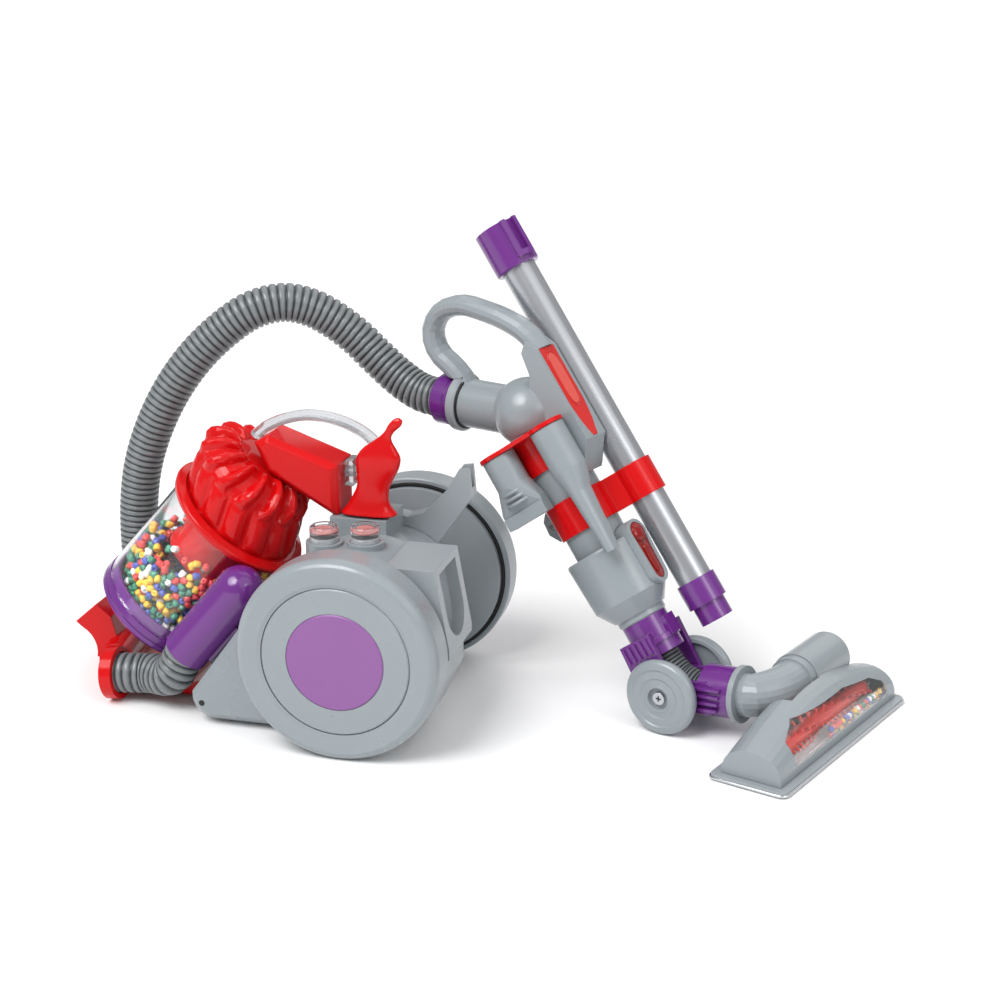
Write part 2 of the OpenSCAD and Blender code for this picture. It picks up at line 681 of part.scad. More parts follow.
short_route = [
    from_bin([duct_side, duct_y, duct_foot + short_hose_l]), from_bin([duct_side, duct_y, duct_foot + 15]),
    from_bin([duct_side, duct_y, duct_foot]), [-141, -53.5, 26],
    near_point(short_hose_l), near_point(short_hose_l / 2), near_point(0)];

module inlet_hose() color("#8b9096") canister()
    ribbed_tube(short_route, [0, 1, 0], short_hose_d, hose_rib, hose_wall, hose_pitch, 12);

module hose_inlet() color(red) canister() difference() {
    union() {
        near_mouth(-4) cylinder(r = mouth_r, h = dish_depth + 4);
        cross_pipe();
        translate([inlet_far.x, inlet_far.y, inlet_z]) sphere(r = inlet_r);
        translate([inlet_far.x, inlet_far.y, inlet_z]) cylinder(r = inlet_r, h = mouth_z - inlet_z);
        translate([inlet_far.x, inlet_far.y, mouth_z - 8]) cylinder(r = mouth_r, h = 8);
        inlet_tongue();
        inlet_flare();
    }
    near_mouth(-seat) cylinder(r = socket_r, h = 2 * short_hose_l);
    translate([inlet_far.x, inlet_far.y, inlet_end_z]) cylinder(r = socket_r, h = mouth_z);
}

module cross_pipe() {
    d = inlet_far - inlet_near;
    translate([inlet_near.x, inlet_near.y, inlet_z]) rotate([0, 0, atan2(d.y, d.x)]) rotate([0, 90, 0])
        cylinder(r = cross_r, h = norm(d));
}

// The tongue that clips the inlet under the nose of the canister
module inlet_tongue() translate([0, 24, 0]) rotate([90, 0, 0]) linear_extrude(58)
    polygon([[-203, 10], [-192, 3], [nose_x - 14, 3], [nose_x - gap, 12], [nose_x - gap, 18],
        [nose_x - 18, 11], [-180, 11], [-200, 18]]);

// The flared lip that curls up in front of the bin
module inlet_flare() translate([0, 14, 0]) rotate([90, 0, 0]) linear_extrude(28)
    polygon(concat([[-200, 26], [-206, 48], [-217, 57], [-234, 42]], arc([-238, 20], 20, 62, -12, 6),
        [[-204, 12]]));

// Main hose, from the handle over the canister to the far end of the inlet

cuff_x = -203;                  // mouth of the cuff on the wand's middle plane
cuff_l = 16;
cuff_r = 18.3;
hose_height = 203;
hose_seat = hose_d;             // straight length inside each socket
hose_route = [
    [46.3, 77.3, hose_height], [32.7, 82.1, hose_height], [19, 86.9, hose_height], [1, 93, 204.5],
        [-17, 98, 213], [-35, 100, 227], [-50, 99, 241],
    [-66, 95, 254], [-83, 89, 264], [-101, 81, 268], [-121, 72, 263], [-141, 65, 249], [-161, 59, 229],
    [-179, 55, 204], [-194, 53, 175], [-205, 53, 144], [-211, 55, 112], [-213, 57, 80], [-212, 57, 62],
    [-212, 57, 46], [-212, 57, 33], [-212, 57, 20]];

module hose() color("#8b9096") canister() ribbed_tube(hose_route, [0, 1, 0], hose_d, hose_rib,
    hose_wall, hose_pitch, 8);

module hose_cuff() color(purple) wand_floor() translate([cuff_x, 0, hose_height]) rotate([0, 90, 0])
    rotate_extrude() polygon([
        [socket_r, 0], [cuff_r - 1.2, 0], [cuff_r, 1.2], [cuff_r, cuff_l - 5], [cuff_r - 0.8, cuff_l - 4.6],
        [cuff_r - 0.8, cuff_l - gap], [socket_r, cuff_l - gap]]);

// Handle: a ball elbow, the tube for the hose, a spine with the trigger, and a loop grip

ball = [-128.5, 0, hose_height + 1];
ball_r = 25;
handle_r = handle_d / 2;
ring_x = cuff_x + cuff_l;
ring_l = 7;
ring_r = 21;
neck_s = 206;                   // the handle starts here on the wand's axis
spine_w = 24;
spine_p = 42;
spine_s = [160, 254];
trigger_s = [180, 250];
trigger_w = 18;
trigger_t = 3.5;
trigger_pocket = trigger_t + 2.5;
tongue_p = 27;
wand_r = wand_d / 2;
grip_t = 15;
grip_rings = 25;
grip_sides = 14;
// Path of the grip, over the middle of the handle tube
grip_rise = [[-112, 40], [-119, 48], [-130, 58], [-147, 65], [-165, 69], [-185, 71],
    [-203, 64], [-211, 49], [-206, 34], [-192, 24], [-182, 14], [-178, 5]];
grip_path = [for (q = grip_rise) [q[0], 0, hose_height + q[1]]];

module handle_ring() color(light_gray) wand_floor() translate([ring_x, 0, hose_height])
    rotate([0, 90, 0]) difference() {
    rotate_extrude() polygon([[socket_r, 0], [ring_r - 1, 0], [ring_r, 1], [ring_r, ring_l - 1.5],
        [ring_r - 1.5, ring_l], [socket_r, ring_l]]);
}

module handle_body() color(silver_gray) difference() {
    union() {
        wand_floor() translate(ball) sphere(r = ball_r);
        wand_floor() translate([ring_x + ring_l, 0, hose_height]) rotate([0, 90, 0])
            cylinder(r = handle_r, h = ball.x - ring_x - ring_l);
        wand() translate([0, 0, neck_s]) cylinder(r = wand_r, h = 14);
        handle_spine();
        handle_grip();
    }
    wand_floor() translate([cuff_x, 0, hose_height]) rotate([0, 90, 0]) cylinder(r = socket_r,
        h = hose_seat + 1);
    wand_floor() translate([cuff_x - ring_r, 0, hose_height]) rotate([0, 90, 0])
        cylinder(r = ring_r + seat, h = ring_r + cuff_l + ring_l);
    wand() trigger_shape(trigger_pocket, gap, 14);
    wand() cylinder(r = wand_r + seat, h = neck_s);
}

module handle_spine() wand() translate([0, spine_w / 2, 0]) rotate([90, 0, 0]) linear_extrude(spine_w)
    polygon([[wand_r - 2, spine_s[0] + 4], [tongue_p - 2, spine_s[0]], [tongue_p + 1, spine_s[0] + 3],
        [spine_p - 5, trigger_s[0] - 6],
        [spine_p, trigger_s[0] - 1], [spine_p, spine_s[1] - 4], [spine_p - 5, spine_s[1] + 6],
            [spine_p - 13, spine_s[1]],
        [wand_r + 5, spine_s[1] - 16], [wand_r - 4, 226], [wand_r - 4, 200]]);

module handle_grip() wand_floor() {
    p = even_points(grip_path, grip_rings - 1);
    loft([for (i = [0 : grip_rings - 1]) oval(p[i], tangent(p, i), grip_w, grip_t, grip_sides)]);
}

// The trigger's outline stands square to the spine, with a square top and a pointed foot
module trigger_shape(depth, grow, over) translate([spine_p - depth, 0, 0]) rotate([90, 0, 90])
    linear_extrude(depth + over) {
    w = trigger_w / 2 + grow;
    polygon([[-w, trigger_s[1] + grow], [-w, trigger_s[0] + 26], [-w * 0.75, trigger_s[0] + 12],
        [-w * 0.3, trigger_s[0] - grow],
        [w * 0.3, trigger_s[0] - grow], [w * 0.75, trigger_s[0] + 12], [w, trigger_s[0] + 26], [w,
            trigger_s[1] + grow]]);
}
module trigger() color(clear_red) wand() trigger_shape(trigger_t, 0, 0);

// Wand tube with its parking hook, the cup, and the release catch

tube_foot = 62;
cup_s = 57.5;
cup_shoulder = 70;
cup_rim = 109;
cup_ring_s = 52.5;
cup_ring_r = 18;
cup_wall = 2.5;
hook_w = 9;
bezel_s = [77, 107];
bezel_r = [8.5, 10];
bezel_p = 32.5;
catch_wall = 2.6;
catch_t = 4;
catch_travel = 2;

module wand_tube() color(silver_gray) wand() {
    difference() {
        translate([0, 0, tube_foot]) cylinder(r = wand_r, h = neck_s - tube_foot);
        translate([0, 0, tube_foot + 3]) cylinder(r = wand_r - wand_wall, h = neck_s);
        catch_outline(0, wand_d, gap);
    }
    translate([0, hook_w / 2, 0]) rotate([90, 0, 0]) linear_extrude(hook_w) difference() {
        polygon([[1 - wand_r, 126], [-wand_r - 6, 128], [-wand_r - 12, 136], [-wand_r - 11, 146],
            [-wand_r - 6, 151], [1 - wand_r, 152]]);
        translate([-wand_r - 5, 141]) circle(r = 3.5);
    }
}

module wand_cup() color(silver_gray) wand() difference() {
    rotate_extrude() polygon([
        [0, cup_ring_s], [cup_ring_r - 1, cup_ring_s], [cup_ring_r, cup_ring_s + 1], [cup_ring_r, cup_s],
        [cup_ring_r + 1.5, cup_s], [cup_d / 2 - 1.5, cup_shoulder], [cup_d / 2, cup_rim - 1.5],
            [cup_d / 2 - 0.8, cup_rim],
        [cup_d / 2 - cup_wall, cup_rim], [cup_d / 2 - 1.5 - cup_wall, cup_shoulder + 3], [wand_r
            + seat, cup_shoulder + 3],
        [wand_r + seat, tube_foot - seat], [0, tube_foot - seat]]);
    catch_outline(0, wand_d, seat);
}

// A keyhole outline that runs up the front of the cup
module catch_outline(p0, depth, grow) translate([p0, 0, 0]) rotate([90, 0, 90]) linear_extrude(depth) {
    translate([0, bezel_s[0]]) circle(r = bezel_r[0] + grow);
    translate([0, bezel_s[1]]) circle(r = bezel_r[1] + grow);
    polygon([[-bezel_r[0] - grow, bezel_s[0]], [bezel_r[0] + grow, bezel_s[0]], [bezel_r[1] + grow,
        bezel_s[1]], [-bezel_r[1] - grow, bezel_s[1]]]);
}

module release_bezel() color(silver_gray) wand() difference() {
    catch_outline(wand_r - wand_wall - 1, bezel_p - wand_r + wand_wall + 1, 0);
    catch_outline(bezel_p - catch_t - catch_travel - 0.5, 20, -catch_wall);
}

module release_button() color(clear_red) wand() {
    catch_outline(bezel_p - catch_t, catch_t - 1, -catch_wall - gap);
    translate([bezel_p - 1.5, 0, bezel_s[1]]) rotate([0, 90, 0])
        cylinder(r = bezel_r[1] - catch_wall - gap, h = 2);
}

// Red holder for the two small tools, on the near side of the wand tube

holder_s = 200;
holder_t = 3;
holder_h = 25;
holder_wall = 2;
holder_turn = 9;
tool_ring = 36.5;               // from the wand's axis to the axis of each tool
tool_spread = 37;
spigot_r = 8;
spigot_l = 16;
function tool_angle(k) = -90 + holder_turn + k * tool_spread;
function tool_place(k) = tool_ring * [cos(tool_angle(k)), sin(tool_angle(k))];

module tool_holder() color(red) wand() difference() {
    holder_shape();
    translate([0, -spine_w / 2 - gap, spine_s[0] - gap]) cube([2 * spine_p, spine_w
        + 2 * gap, 2 * holder_s]);
}
module holder_shape() {
    for (k = [-1, 1]) translate([tool_place(k).x, tool_place(k).y, holder_s - spigot_l])
        cylinder(r = spigot_r, h = spigot_l + holder_t);
    difference() {
        translate([0, 0, holder_s]) linear_extrude(holder_t) {
            for (k = [-1, 1]) translate(tool_place(k)) circle(r = 13.5);
            polygon([tool_place(-1) * 1.36, tool_place(1) * 1.36, tool_place(1) * 0.6,
                tool_place(-1) * 0.6]);
        }
        translate([0, 0, holder_s - cut]) cylinder(r = wand_r + seat, h = holder_t + 2 * cut);
    }
    difference() {
        translate([0, 0, holder_s - holder_h]) cylinder(r = wand_r + seat + holder_wall, h = holder_h
            + holder_t);
        translate([0, 0, holder_s - holder_h - cut]) cylinder(r = wand_r + seat, h = holder_h
            + holder_t + 2 * cut);
        rotate([0, 0, holder_turn]) translate([-wand_d, -4, 0])
            cube([2 * wand_d, 2 * wand_d, 2 * holder_s]);
    }
}

// Crevice tool: a round socket that narrows to a slanted bar
crevice_r = 12.7;
crevice_foot = 104;
crevice_neck = 150;
crevice_drop = 168;

module crevice_tool() color(silver_gray) wand() translate([tool_place(1).x, tool_place(1).y, 0])
    difference() {
    union() {
        translate([0, 0, crevice_drop]) cylinder(r = crevice_r, h = holder_s - gap - crevice_drop);
        hull() {
            translate([0, 0, crevice_drop - 1]) cylinder(r = crevice_r, h = 1, $fn = 32);
            translate([0, -1.5, crevice_neck]) crevice_slice(9, 1);
        }
        hull() {
            translate([0, -1.5, crevice_neck]) crevice_slice(9, 1);
            translate([0, -2.5, crevice_foot]) crevice_slice(6, 1);
        }
    }
    translate([0, 0, holder_s - spigot_l - 1]) cylinder(r = spigot_r + run, h = spigot_l + 2);
    translate([0, -8, crevice_foot - 9]) rotate([0, 30, 0]) cube([30, 20, 12], center = true);
}
module crevice_slice(r, h) for (y = [-2, 2]) translate([0, y, 0]) cylinder(r = r - 2, h = h, $fn = 24);

// Upholstery tool: a round socket over a wide flat mouth with a lip
upholstery_r = 12.4;
upholstery_foot = 150;
upholstery_drop = 178;
mouth_w = 34;

module upholstery_tool() color(silver_gray) wand() translate([tool_place(-1).x, tool_place(-1).y, 0])
    difference() {
    union() {
        translate([0, 0, upholstery_drop]) cylinder(r = upholstery_r, h = holder_s - gap - upholstery_drop);
        hull() {
            translate([0, 0, upholstery_drop - 1]) cylinder(r = upholstery_r, h = 1, $fn = 32);
            rotate([0, 0, holder_turn]) translate([-mouth_w / 2, -6, upholstery_foot + 8])
                cube([mouth_w, 9, 4]);
        }
        rotate([0, 0, holder_turn]) translate([-mouth_w / 2, -7.5, upholstery_foot]) cube([mouth_w, 11, 9]);
        for (z = [165, 169, 173]) translate([0, 0, z]) rotate_extrude()
            translate([upholstery_r - 1, 0]) circle(r = 1.2, $fn = 16);
    }
    translate([0, 0, holder_s - spigot_l - 1]) cylinder(r = spigot_r + run, h = spigot_l + 2);
    rotate([0, 0, holder_turn]) translate([-mouth_w / 2 + 2, -5.5, upholstery_foot - cut])
        cube([mouth_w - 4, 6, 8]);
}

// Extension tube with its two coloured ends, held beside the wand by a double clip

extension_r = extension_d / 2;
extension_place = [36, 27];
extension_foot = 27;
collar_s = 43.5;
collar_l = 15.5;
collar_r = extension_r + 2;
end_socket_l = 33;
end_socket_r = extension_r + 4;
end_socket_bore = 12.5;
spigot_foot_r = 12;
extension_top = extension_foot + extension_l;
clip_s = [126, 151];
clip_wall = 2;
clip_web = 9;

module extension() wand() translate([extension_place.x, extension_place.y, 0]) children();

module extension_tube() color(light_gray) extension() translate([0, 0, collar_s + seat]) difference() {
    l = extension_top - end_socket_l + 6 - collar_s;
    cylinder(r = extension_r, h = l);
    translate([0, 0, -cut]) cylinder(r = extension_r - extension_wall, h = l + 2 * cut);
}

module extension_socket() color(purple) extension() difference() {
    translate([0, 0, extension_top - end_socket_l]) {
        rotate_extrude() polygon([
            [extension_r + seat, 0], [end_socket_r - 1, 0], [end_socket_r, 1], [end_socket_r, end_socket_l],
            [end_socket_bore, end_socket_l], [end_socket_bore, 6 + seat + gap], [extension_r
                + seat, 6 + seat + gap]]);
        intersection() {
            rotate([0, 0, -20]) translate([0, -7, 4]) cube([end_socket_r + 3, 14, end_socket_l - 4]);
            difference() {
                cylinder(r = end_socket_r + 3, h = end_socket_l);
                translate([0, 0, -cut]) cylinder(r = end_socket_r - 0.5, h = end_socket_l + 2 * cut);
            }
        }
    }
    rotate([0, 0, -20]) translate([end_socket_r - 1.5, -3.5, extension_top - 25]) cube([20, 7, 30]);
}

module extension_spigot() color(purple) extension() difference() {
    union() {
        translate([0, 0, extension_foot]) cylinder(r = spigot_foot_r, h = collar_s - extension_foot);
        translate([0, 0, collar_s - 3]) cylinder(r = collar_r, h = 3);
        difference() {
            translate([0, 0, collar_s]) cylinder(r = collar_r, h = collar_l);
            cylinder(r = extension_r + seat, h = extension_top);
        }
    }
    translate([0, 0, extension_foot - cut]) cylinder(r = spigot_foot_r - 2, h = collar_s);
}

module tube_clip() color(red) wand() translate([0, 0, clip_s[0]]) difference() {
    h = clip_s[1] - clip_s[0];
    reach = norm(extension_place);
    union() {
        cylinder(r = wand_r + seat + clip_wall, h = h);
        translate([extension_place.x, extension_place.y, 0]) cylinder(r = extension_r + gap
            + clip_wall, h = h);
        rotate([0, 0, atan2(extension_place.y, extension_place.x)]) translate([0, -clip_web, 0])
            cube([reach, 2 * clip_web, h]);
    }
    translate([0, 0, -cut]) cylinder(r = wand_r + seat, h = h + 2 * cut);
    translate([-2 * wand_d, -hook_w / 2 - gap, -cut]) cube([2 * wand_d, hook_w + 2 * gap, h + 2 * cut]);
    translate([extension_place.x, extension_place.y, -cut]) cylinder(r = extension_r + gap, h = h
        + 2 * cut);
}

// Purple yokes, the bellows between them, and the small wheels on their pins

pin_r = 2.5;
ear_r = 9;
ear_t = 4;
upper_ear = 18;                 // inner face of each ear of the upper yoke
lower_ear = 13.2;
upper_collar = [25, cup_ring_s];
upper_collar_r = 17;
lower_collar = [22, 46];
lower_collar_r = 18;
bellows_d = 22;
bellows_bore = bellows_d / 2 + gap;
head_wheel_in = upper_ear + ear_t + gap;
neck_rise = 5;
fin_count = 5;
fin_s = head_wheel_d / 2 + 1.5;   // the fins start above the wheel

module lower() wand_floor() translate([0, 0, pivot_z]) rotate([0, -neck_rise, 0]) children();

module ear(y, t) translate([0, y, 0]) rotate([90, 0, 0]) linear_extrude(t, center = true) children();

module upper_yoke() color(purple) wand() difference() {
    union() {
        translate([0, 0, upper_collar[0]]) cylinder(r = upper_collar_r,
            h = upper_collar[1] - upper_collar[0]);
        translate([0, 0, upper_collar[0] + 8]) cylinder(r = upper_collar_r + 1.5, h = 4);
        for (side = [-1, 1]) {
            ear(side * (upper_ear + ear_t / 2), ear_t) {
                circle(r = ear_r);
                polygon([[-ear_r, 0], [ear_r, 0], [12, 42], [-15, 42], [-17, 18]]);
            }
            translate([-12, side > 0 ? 8 : -upper_ear - 1, 32]) cube([22, upper_ear - 7, 10]);
            for (k = [0 : fin_count - 1]) translate([-14 + 5.2 * k, side > 0 ? upper_ear
                + 1 : -upper_ear - ear_t - 1.5, fin_s])
                cube([2, ear_t + 0.5, 12]);
        }
        translate([upper_collar_r - 3, -6, 34]) cube([6, 12, 14]);
    }
    translate([0, 0, -cut]) cylinder(r = bellows_bore, h = 42 + cut);
    rotate([90, 0, 0]) cylinder(r = pin_r + seat, h = 2 * head_wheel_d, center = true);
}

module lower_yoke() color(purple) lower() difference() {
    union() {
        translate([lower_collar[0], 0, 0]) rotate([0, 90, 0]) cylinder(r = lower_collar_r,
            h = lower_collar[1] - lower_collar[0]);
        for (side = [-1, 1]) {
            ear(side * (lower_ear + ear_t / 2), ear_t) {
                circle(r = ear_r);
                polygon([[0, -ear_r], [0, ear_r], [30, 11], [34, 9], [34, -11], [30, -13]]);
            }
            for (k = [0 : fin_count - 2]) translate([14 + k, side > 0 ? lower_ear
                + 2 : -lower_ear - ear_t - 3, -9 + 5 * k])
                cube([24, ear_t + 1, 2]);
        }
    }
    translate([lower_collar[0] - cut, 0, 0]) rotate([0, 90, 0]) cylinder(r = bellows_bore, h = 16 + cut);
    rotate([0, 90, 0]) cylinder(r = neck_pin_r + run, h = lower_collar[1] + cut);
    rotate([90, 0, 0]) cylinder(r = pin_r + run, h = 2 * head_wheel_d, center = true);
}

module yoke_pins() color(steel) wand_floor() for (side = [-1, 1])
    translate([0, side * (lower_ear - 1), pivot_z]) rotate([side > 0 ? -90 : 90, 0, 0]) {
        cylinder(r = pin_r, h = head_wheel_in + head_wheel_w - 2 - lower_ear);
        translate([0, 0, head_wheel_in + head_wheel_w - 2 - lower_ear]) cylinder(r = pin_r + 2, h = 2);
    }

module head_wheel(side) color(silver_gray) wand_floor()
    translate([0, side * head_wheel_in, pivot_z]) rotate([side > 0 ? -90 : 90, 0, 0]) {
        r = head_wheel_d / 2;
        w = head_wheel_w;
        rotate_extrude() polygon(concat(
            [[pin_r + run, 0], [8, 0], [8, 2], [r - 5, 3], [r - 4, 0], [r - 1.5, 0.5]],
            arc([r - 4, w / 2], 4, -40, 60, 5),
            [[r - 6, w - 0.2], [r - 7, w - 1], [r * 0.55, w - 0.4], [r * 0.5, w - 1.2], [r * 0.38,
                w - 0.6], [r * 0.34, w],
             [r * 0.3, w], [r * 0.27, w - 3.4], [pin_r + run, w - 3.4]]));
    }
module head_wheel_near() head_wheel(-1);
module head_wheel_far() head_wheel(1);

function on_wand(s) = [-s * sin(wand_lean), 0, pivot_z + s * cos(wand_lean)];
function on_lower(d) = [d * cos(neck_rise), 0, pivot_z + d * sin(neck_rise)];
bellows_route = [on_wand(40), on_wand(33), on_wand(26), on_wand(16) + [1, 0, 0], on_wand(6) + [4, 0, 1],
    on_lower(8) + [2, 0, 2], on_lower(17), on_lower(25), on_lower(31), on_lower(37)];

module bellows() color(dark_gray) wand_floor() ribbed_tube(bellows_route, [0, 1, 0],
    bellows_d, 1.6, 1.2, 4.6, 12);

// Neck elbow, from the lower yoke round to the barrel of the head

neck_pin_r = 9;
neck_ring_r = 20;
neck_ring_l = 4;
neck_r = 15;
barrel_x = 70;
barrel_z = 35.5;
elbow_end = 30;
elbow_y = 37;
barrel_pin_r = 11;
elbow_route = [on_lower(50), on_lower(56), [63, 8, pivot_z + 6], [68.5, 19, barrel_z - 1], [barrel_x,
    elbow_end, barrel_z],
    [barrel_x, elbow_end + 3, barrel_z]];
elbow_rings = 12;
elbow_sides = 24;

module neck_elbow() color(silver_gray) {
    lower() translate([lower_collar[1] + gap, 0, 0]) rotate([0, 90, 0]) cylinder(r = neck_ring_r,
        h = neck_ring_l);
    lower() translate([40, 0, 0]) rotate([0, 90, 0]) cylinder(r = neck_pin_r,
        h = lower_collar[1] - 40 + gap + 1);
    wand_floor() {
        p = even_points(elbow_route, elbow_rings - 1);
        loft([for (i = [0 : elbow_rings - 1]) ring(p[i], tangent(p, i), [0, 0, 1], neck_r, elbow_sides)]);
        translate([barrel_x, elbow_y, barrel_z]) rotate([90, 0, 0]) cylinder(r = neck_r + 1.5,
            h = elbow_y - elbow_end);
        translate([barrel_x, elbow_y + 22, barrel_z]) rotate([90, 0, 0]) cylinder(r = barrel_pin_r, h = 23);
    }
}

// Cleaner head: a lofted cover with a window over the brush roll

head_y = [-72, head_w - 72];
sole_x = [62, 62 + head_depth];
cover_y = [head_y[0] + 6, head_y[1] - 4];
cover_sections = 21;
cover_points = 14;
end_rise = 20;
mid_rise = 17;
brush_x = 93;
brush_z = sole_t + brush_d / 2;
brush_y = [-40, 95];
post_t = 3;
barrel_r = 17.5;
barrel_l = 50;
window_wall = 1.6;

// Half-round section of the cover at a share u of its length, drawn in by an inset
function cover_section(u, inset) =
    let (swell = sin(180 * u), y = cover_y[0] + inset + u * (cover_y[1] - cover_y[0] - 2 * inset))
    let (back = sole_x[0] + 6 - 5 * swell + inset, front = sole_x[1] - 6 - inset, h = end_rise
        + mid_rise * swell - inset)
    [for (k = [0 : cover_points])
        let (a = 180 - 180 * k / cover_points)
        [(front + back) / 2 + (front - back) / 2 * cos(a), y, sole_t + seat + h * pow(sin(a), 0.8)]];
module cover_loft(inset) loft([for (i = [0 : cover_sections - 1])
    cover_section(i / (cover_sections - 1), inset)]);

module window_prism(inset) translate([96, 0, 0]) rotate([90, 0, 90]) linear_extrude(40)
    polygon([[-44 + inset, 10 + inset], [-44 + inset, 26], [-24 + inset, 34 - inset],
        [42, 34 - inset], [84, 27 - inset],
        [100 - inset, 20 - inset], [102 - inset, 10 + inset]]);

module head_cover() color(silver_gray) wand_floor() difference() {
    union() {
        difference() {
            cover_loft(0);
            translate([0, 0, -0.01]) cover_loft(cover_wall);
        }
        translate([barrel_x, elbow_y + gap + barrel_l, barrel_z]) rotate([90, 0, 0])
            cylinder(r = barrel_r, h = barrel_l);
    }
    translate([barrel_x, elbow_y + 24, barrel_z]) rotate([90, 0, 0]) cylinder(r = barrel_pin_r + run,
        h = 40);
    translate([barrel_x, elbow_y + gap, barrel_z]) rotate([90, 0, 0]) cylinder(r = neck_r + 4, h = 44);
    translate([30, 2, pivot_z + 4]) rotate([0, 90, 0]) cylinder(r = neck_r + 7, h = barrel_x - 28);
    window_prism(0);
    translate([brush_x, brush_y[1] + 8, brush_z]) rotate([90, 0, 0]) cylinder(d = brush_d + 3,
        h = brush_y[1] - brush_y[0] + 16);
}

module head_window() color(clear_plastic) wand_floor() intersection() {
    difference() {
        cover_loft(0.2);
        cover_loft(0.2 + window_wall);
    }
    window_prism(gap);
}

sole_corner = 5;
module sole_outline() {
    translate([sole_x[0] + sole_corner, head_y[0]]) square([head_depth - 2 * sole_corner, head_w]);
    translate([sole_x[0], head_y[0] + sole_corner]) square([head_depth, head_w - 2 * sole_corner]);
    for (x = [sole_x[0] + sole_corner, sole_x[1] - sole_corner], y = [head_y[0] + sole_corner,
        head_y[1] - sole_corner])
        translate([x, y]) circle(r = sole_corner);
}

module soleplate() color("#8f979f") wand_floor() difference() {
    union() {
        linear_extrude(sole_t) sole_outline();
        for (y = [brush_y[0] - post_t - gap, brush_y[1] + gap]) translate([brush_x - 5, y,
            sole_t - 1]) cube([10, post_t, brush_d / 2 + 4]);
    }
    translate([brush_x - brush_d / 2 - 1, brush_y[0] - gap, -cut]) cube([brush_d + 2,
        brush_y[1] - brush_y[0] + 2 * gap, sole_t + 2 * cut]);
    translate([brush_x, 0, brush_z]) rotate([90, 0, 0]) cylinder(r = pin_r + run, h = 2 * head_w,
        center = true);
}

brush_rows = 4;
teeth_per_row = 16;
tooth_d = 2.6;
brush_core_r = 5.5;

module brush_roll() color(red) wand_floor() translate([brush_x, brush_y[0], brush_z]) rotate([-90, 0, 0]) {
    l = brush_y[1] - brush_y[0];
    cylinder(r = brush_core_r, h = l);
    translate([0, 0, -post_t]) cylinder(r = pin_r, h = l + 2 * post_t);
    for (row = [0 : brush_rows - 1], k = [0 : teeth_per_row - 1])
        rotate([0, 0, row * 360 / brush_rows + k * 12]) translate([0, 0, (k + 0.5) * l / teeth_per_row])
            rotate([0, 90, 0]) cylinder(d = tooth_d, h = brush_d / 2, $fn = 6);
}

module head_beads() color("gold") wand_floor()
    for (k = [0 : 11]) translate([brush_x + brush_d / 2 + 3, 22 + 5.4 * k, sole_t + bead_d / 2 + seat])
        rotate([90, 0, 0]) cylinder(d = bead_d, h = bead_d, center = true, $fn = 8);

base_housing();
top_housing();
dock_block();
dock_arm();
side_discs();
axle();
wheel_rim_near();
wheel_cap_near();
wheel_disc_near();
wheel_rim_far();
wheel_cap_far();
wheel_disc_far();
battery_door();
batteries();
dust_bin();
bin_base();
bin_flange();
bin_shroud();
bin_beads();
bead_motor();
bead_impeller();
cyclone_pack();
top_duct();
carry_handle();
release_lever();
lever_pin();
power_button();
rewind_button();
button_switches();
inlet_duct();
inlet_hose();
hose_inlet();
hose();
hose_cuff();
handle_ring();
handle_body();
trigger();
wand_tube();
tool_holder();
crevice_tool();
upholstery_tool();
tube_clip();
extension_tube();
extension_socket();
extension_spigot();
wand_cup();
release_bezel();
release_button();
upper_yoke();
yoke_pins();
head_wheel_near();
head_wheel_far();
bellows();
lower_yoke();
neck_elbow();
head_cover();
head_window();
soleplate();
brush_roll();
head_beads();
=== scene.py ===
# %% [markdown]
# A toy vacuum cleaner, dressed for its picture.
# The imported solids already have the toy's form and joints. This lesson sets up a camera and soft light, swaps
# the hoses, the beads and the lever for finer ones, and gives each piece the finish of the real toy.

# %% Load the solids
import math

import bpy
import numpy as np
from mathutils import Matrix, Vector


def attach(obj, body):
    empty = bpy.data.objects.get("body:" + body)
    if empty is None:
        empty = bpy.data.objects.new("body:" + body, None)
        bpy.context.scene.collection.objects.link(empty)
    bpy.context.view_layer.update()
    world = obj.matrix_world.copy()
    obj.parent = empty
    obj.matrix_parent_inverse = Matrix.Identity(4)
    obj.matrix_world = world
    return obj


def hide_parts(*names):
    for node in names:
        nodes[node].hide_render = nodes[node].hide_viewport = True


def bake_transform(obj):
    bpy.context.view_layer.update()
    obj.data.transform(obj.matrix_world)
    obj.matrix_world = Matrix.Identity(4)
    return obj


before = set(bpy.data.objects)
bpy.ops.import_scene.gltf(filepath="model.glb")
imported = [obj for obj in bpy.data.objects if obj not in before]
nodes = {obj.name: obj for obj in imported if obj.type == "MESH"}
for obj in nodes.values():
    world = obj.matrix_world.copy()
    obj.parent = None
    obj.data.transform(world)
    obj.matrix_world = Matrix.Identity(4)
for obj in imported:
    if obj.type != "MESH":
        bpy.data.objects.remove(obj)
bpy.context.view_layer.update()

scene = bpy.context.scene

# %% [markdown]
# The camera stands where the photograph was taken from: in front, a little to the right and above.
# It could be aimed by hand, but a place and two angles, worked out from the round wheels and the floor,
# repeat exactly. A long lens keeps the wheels round.

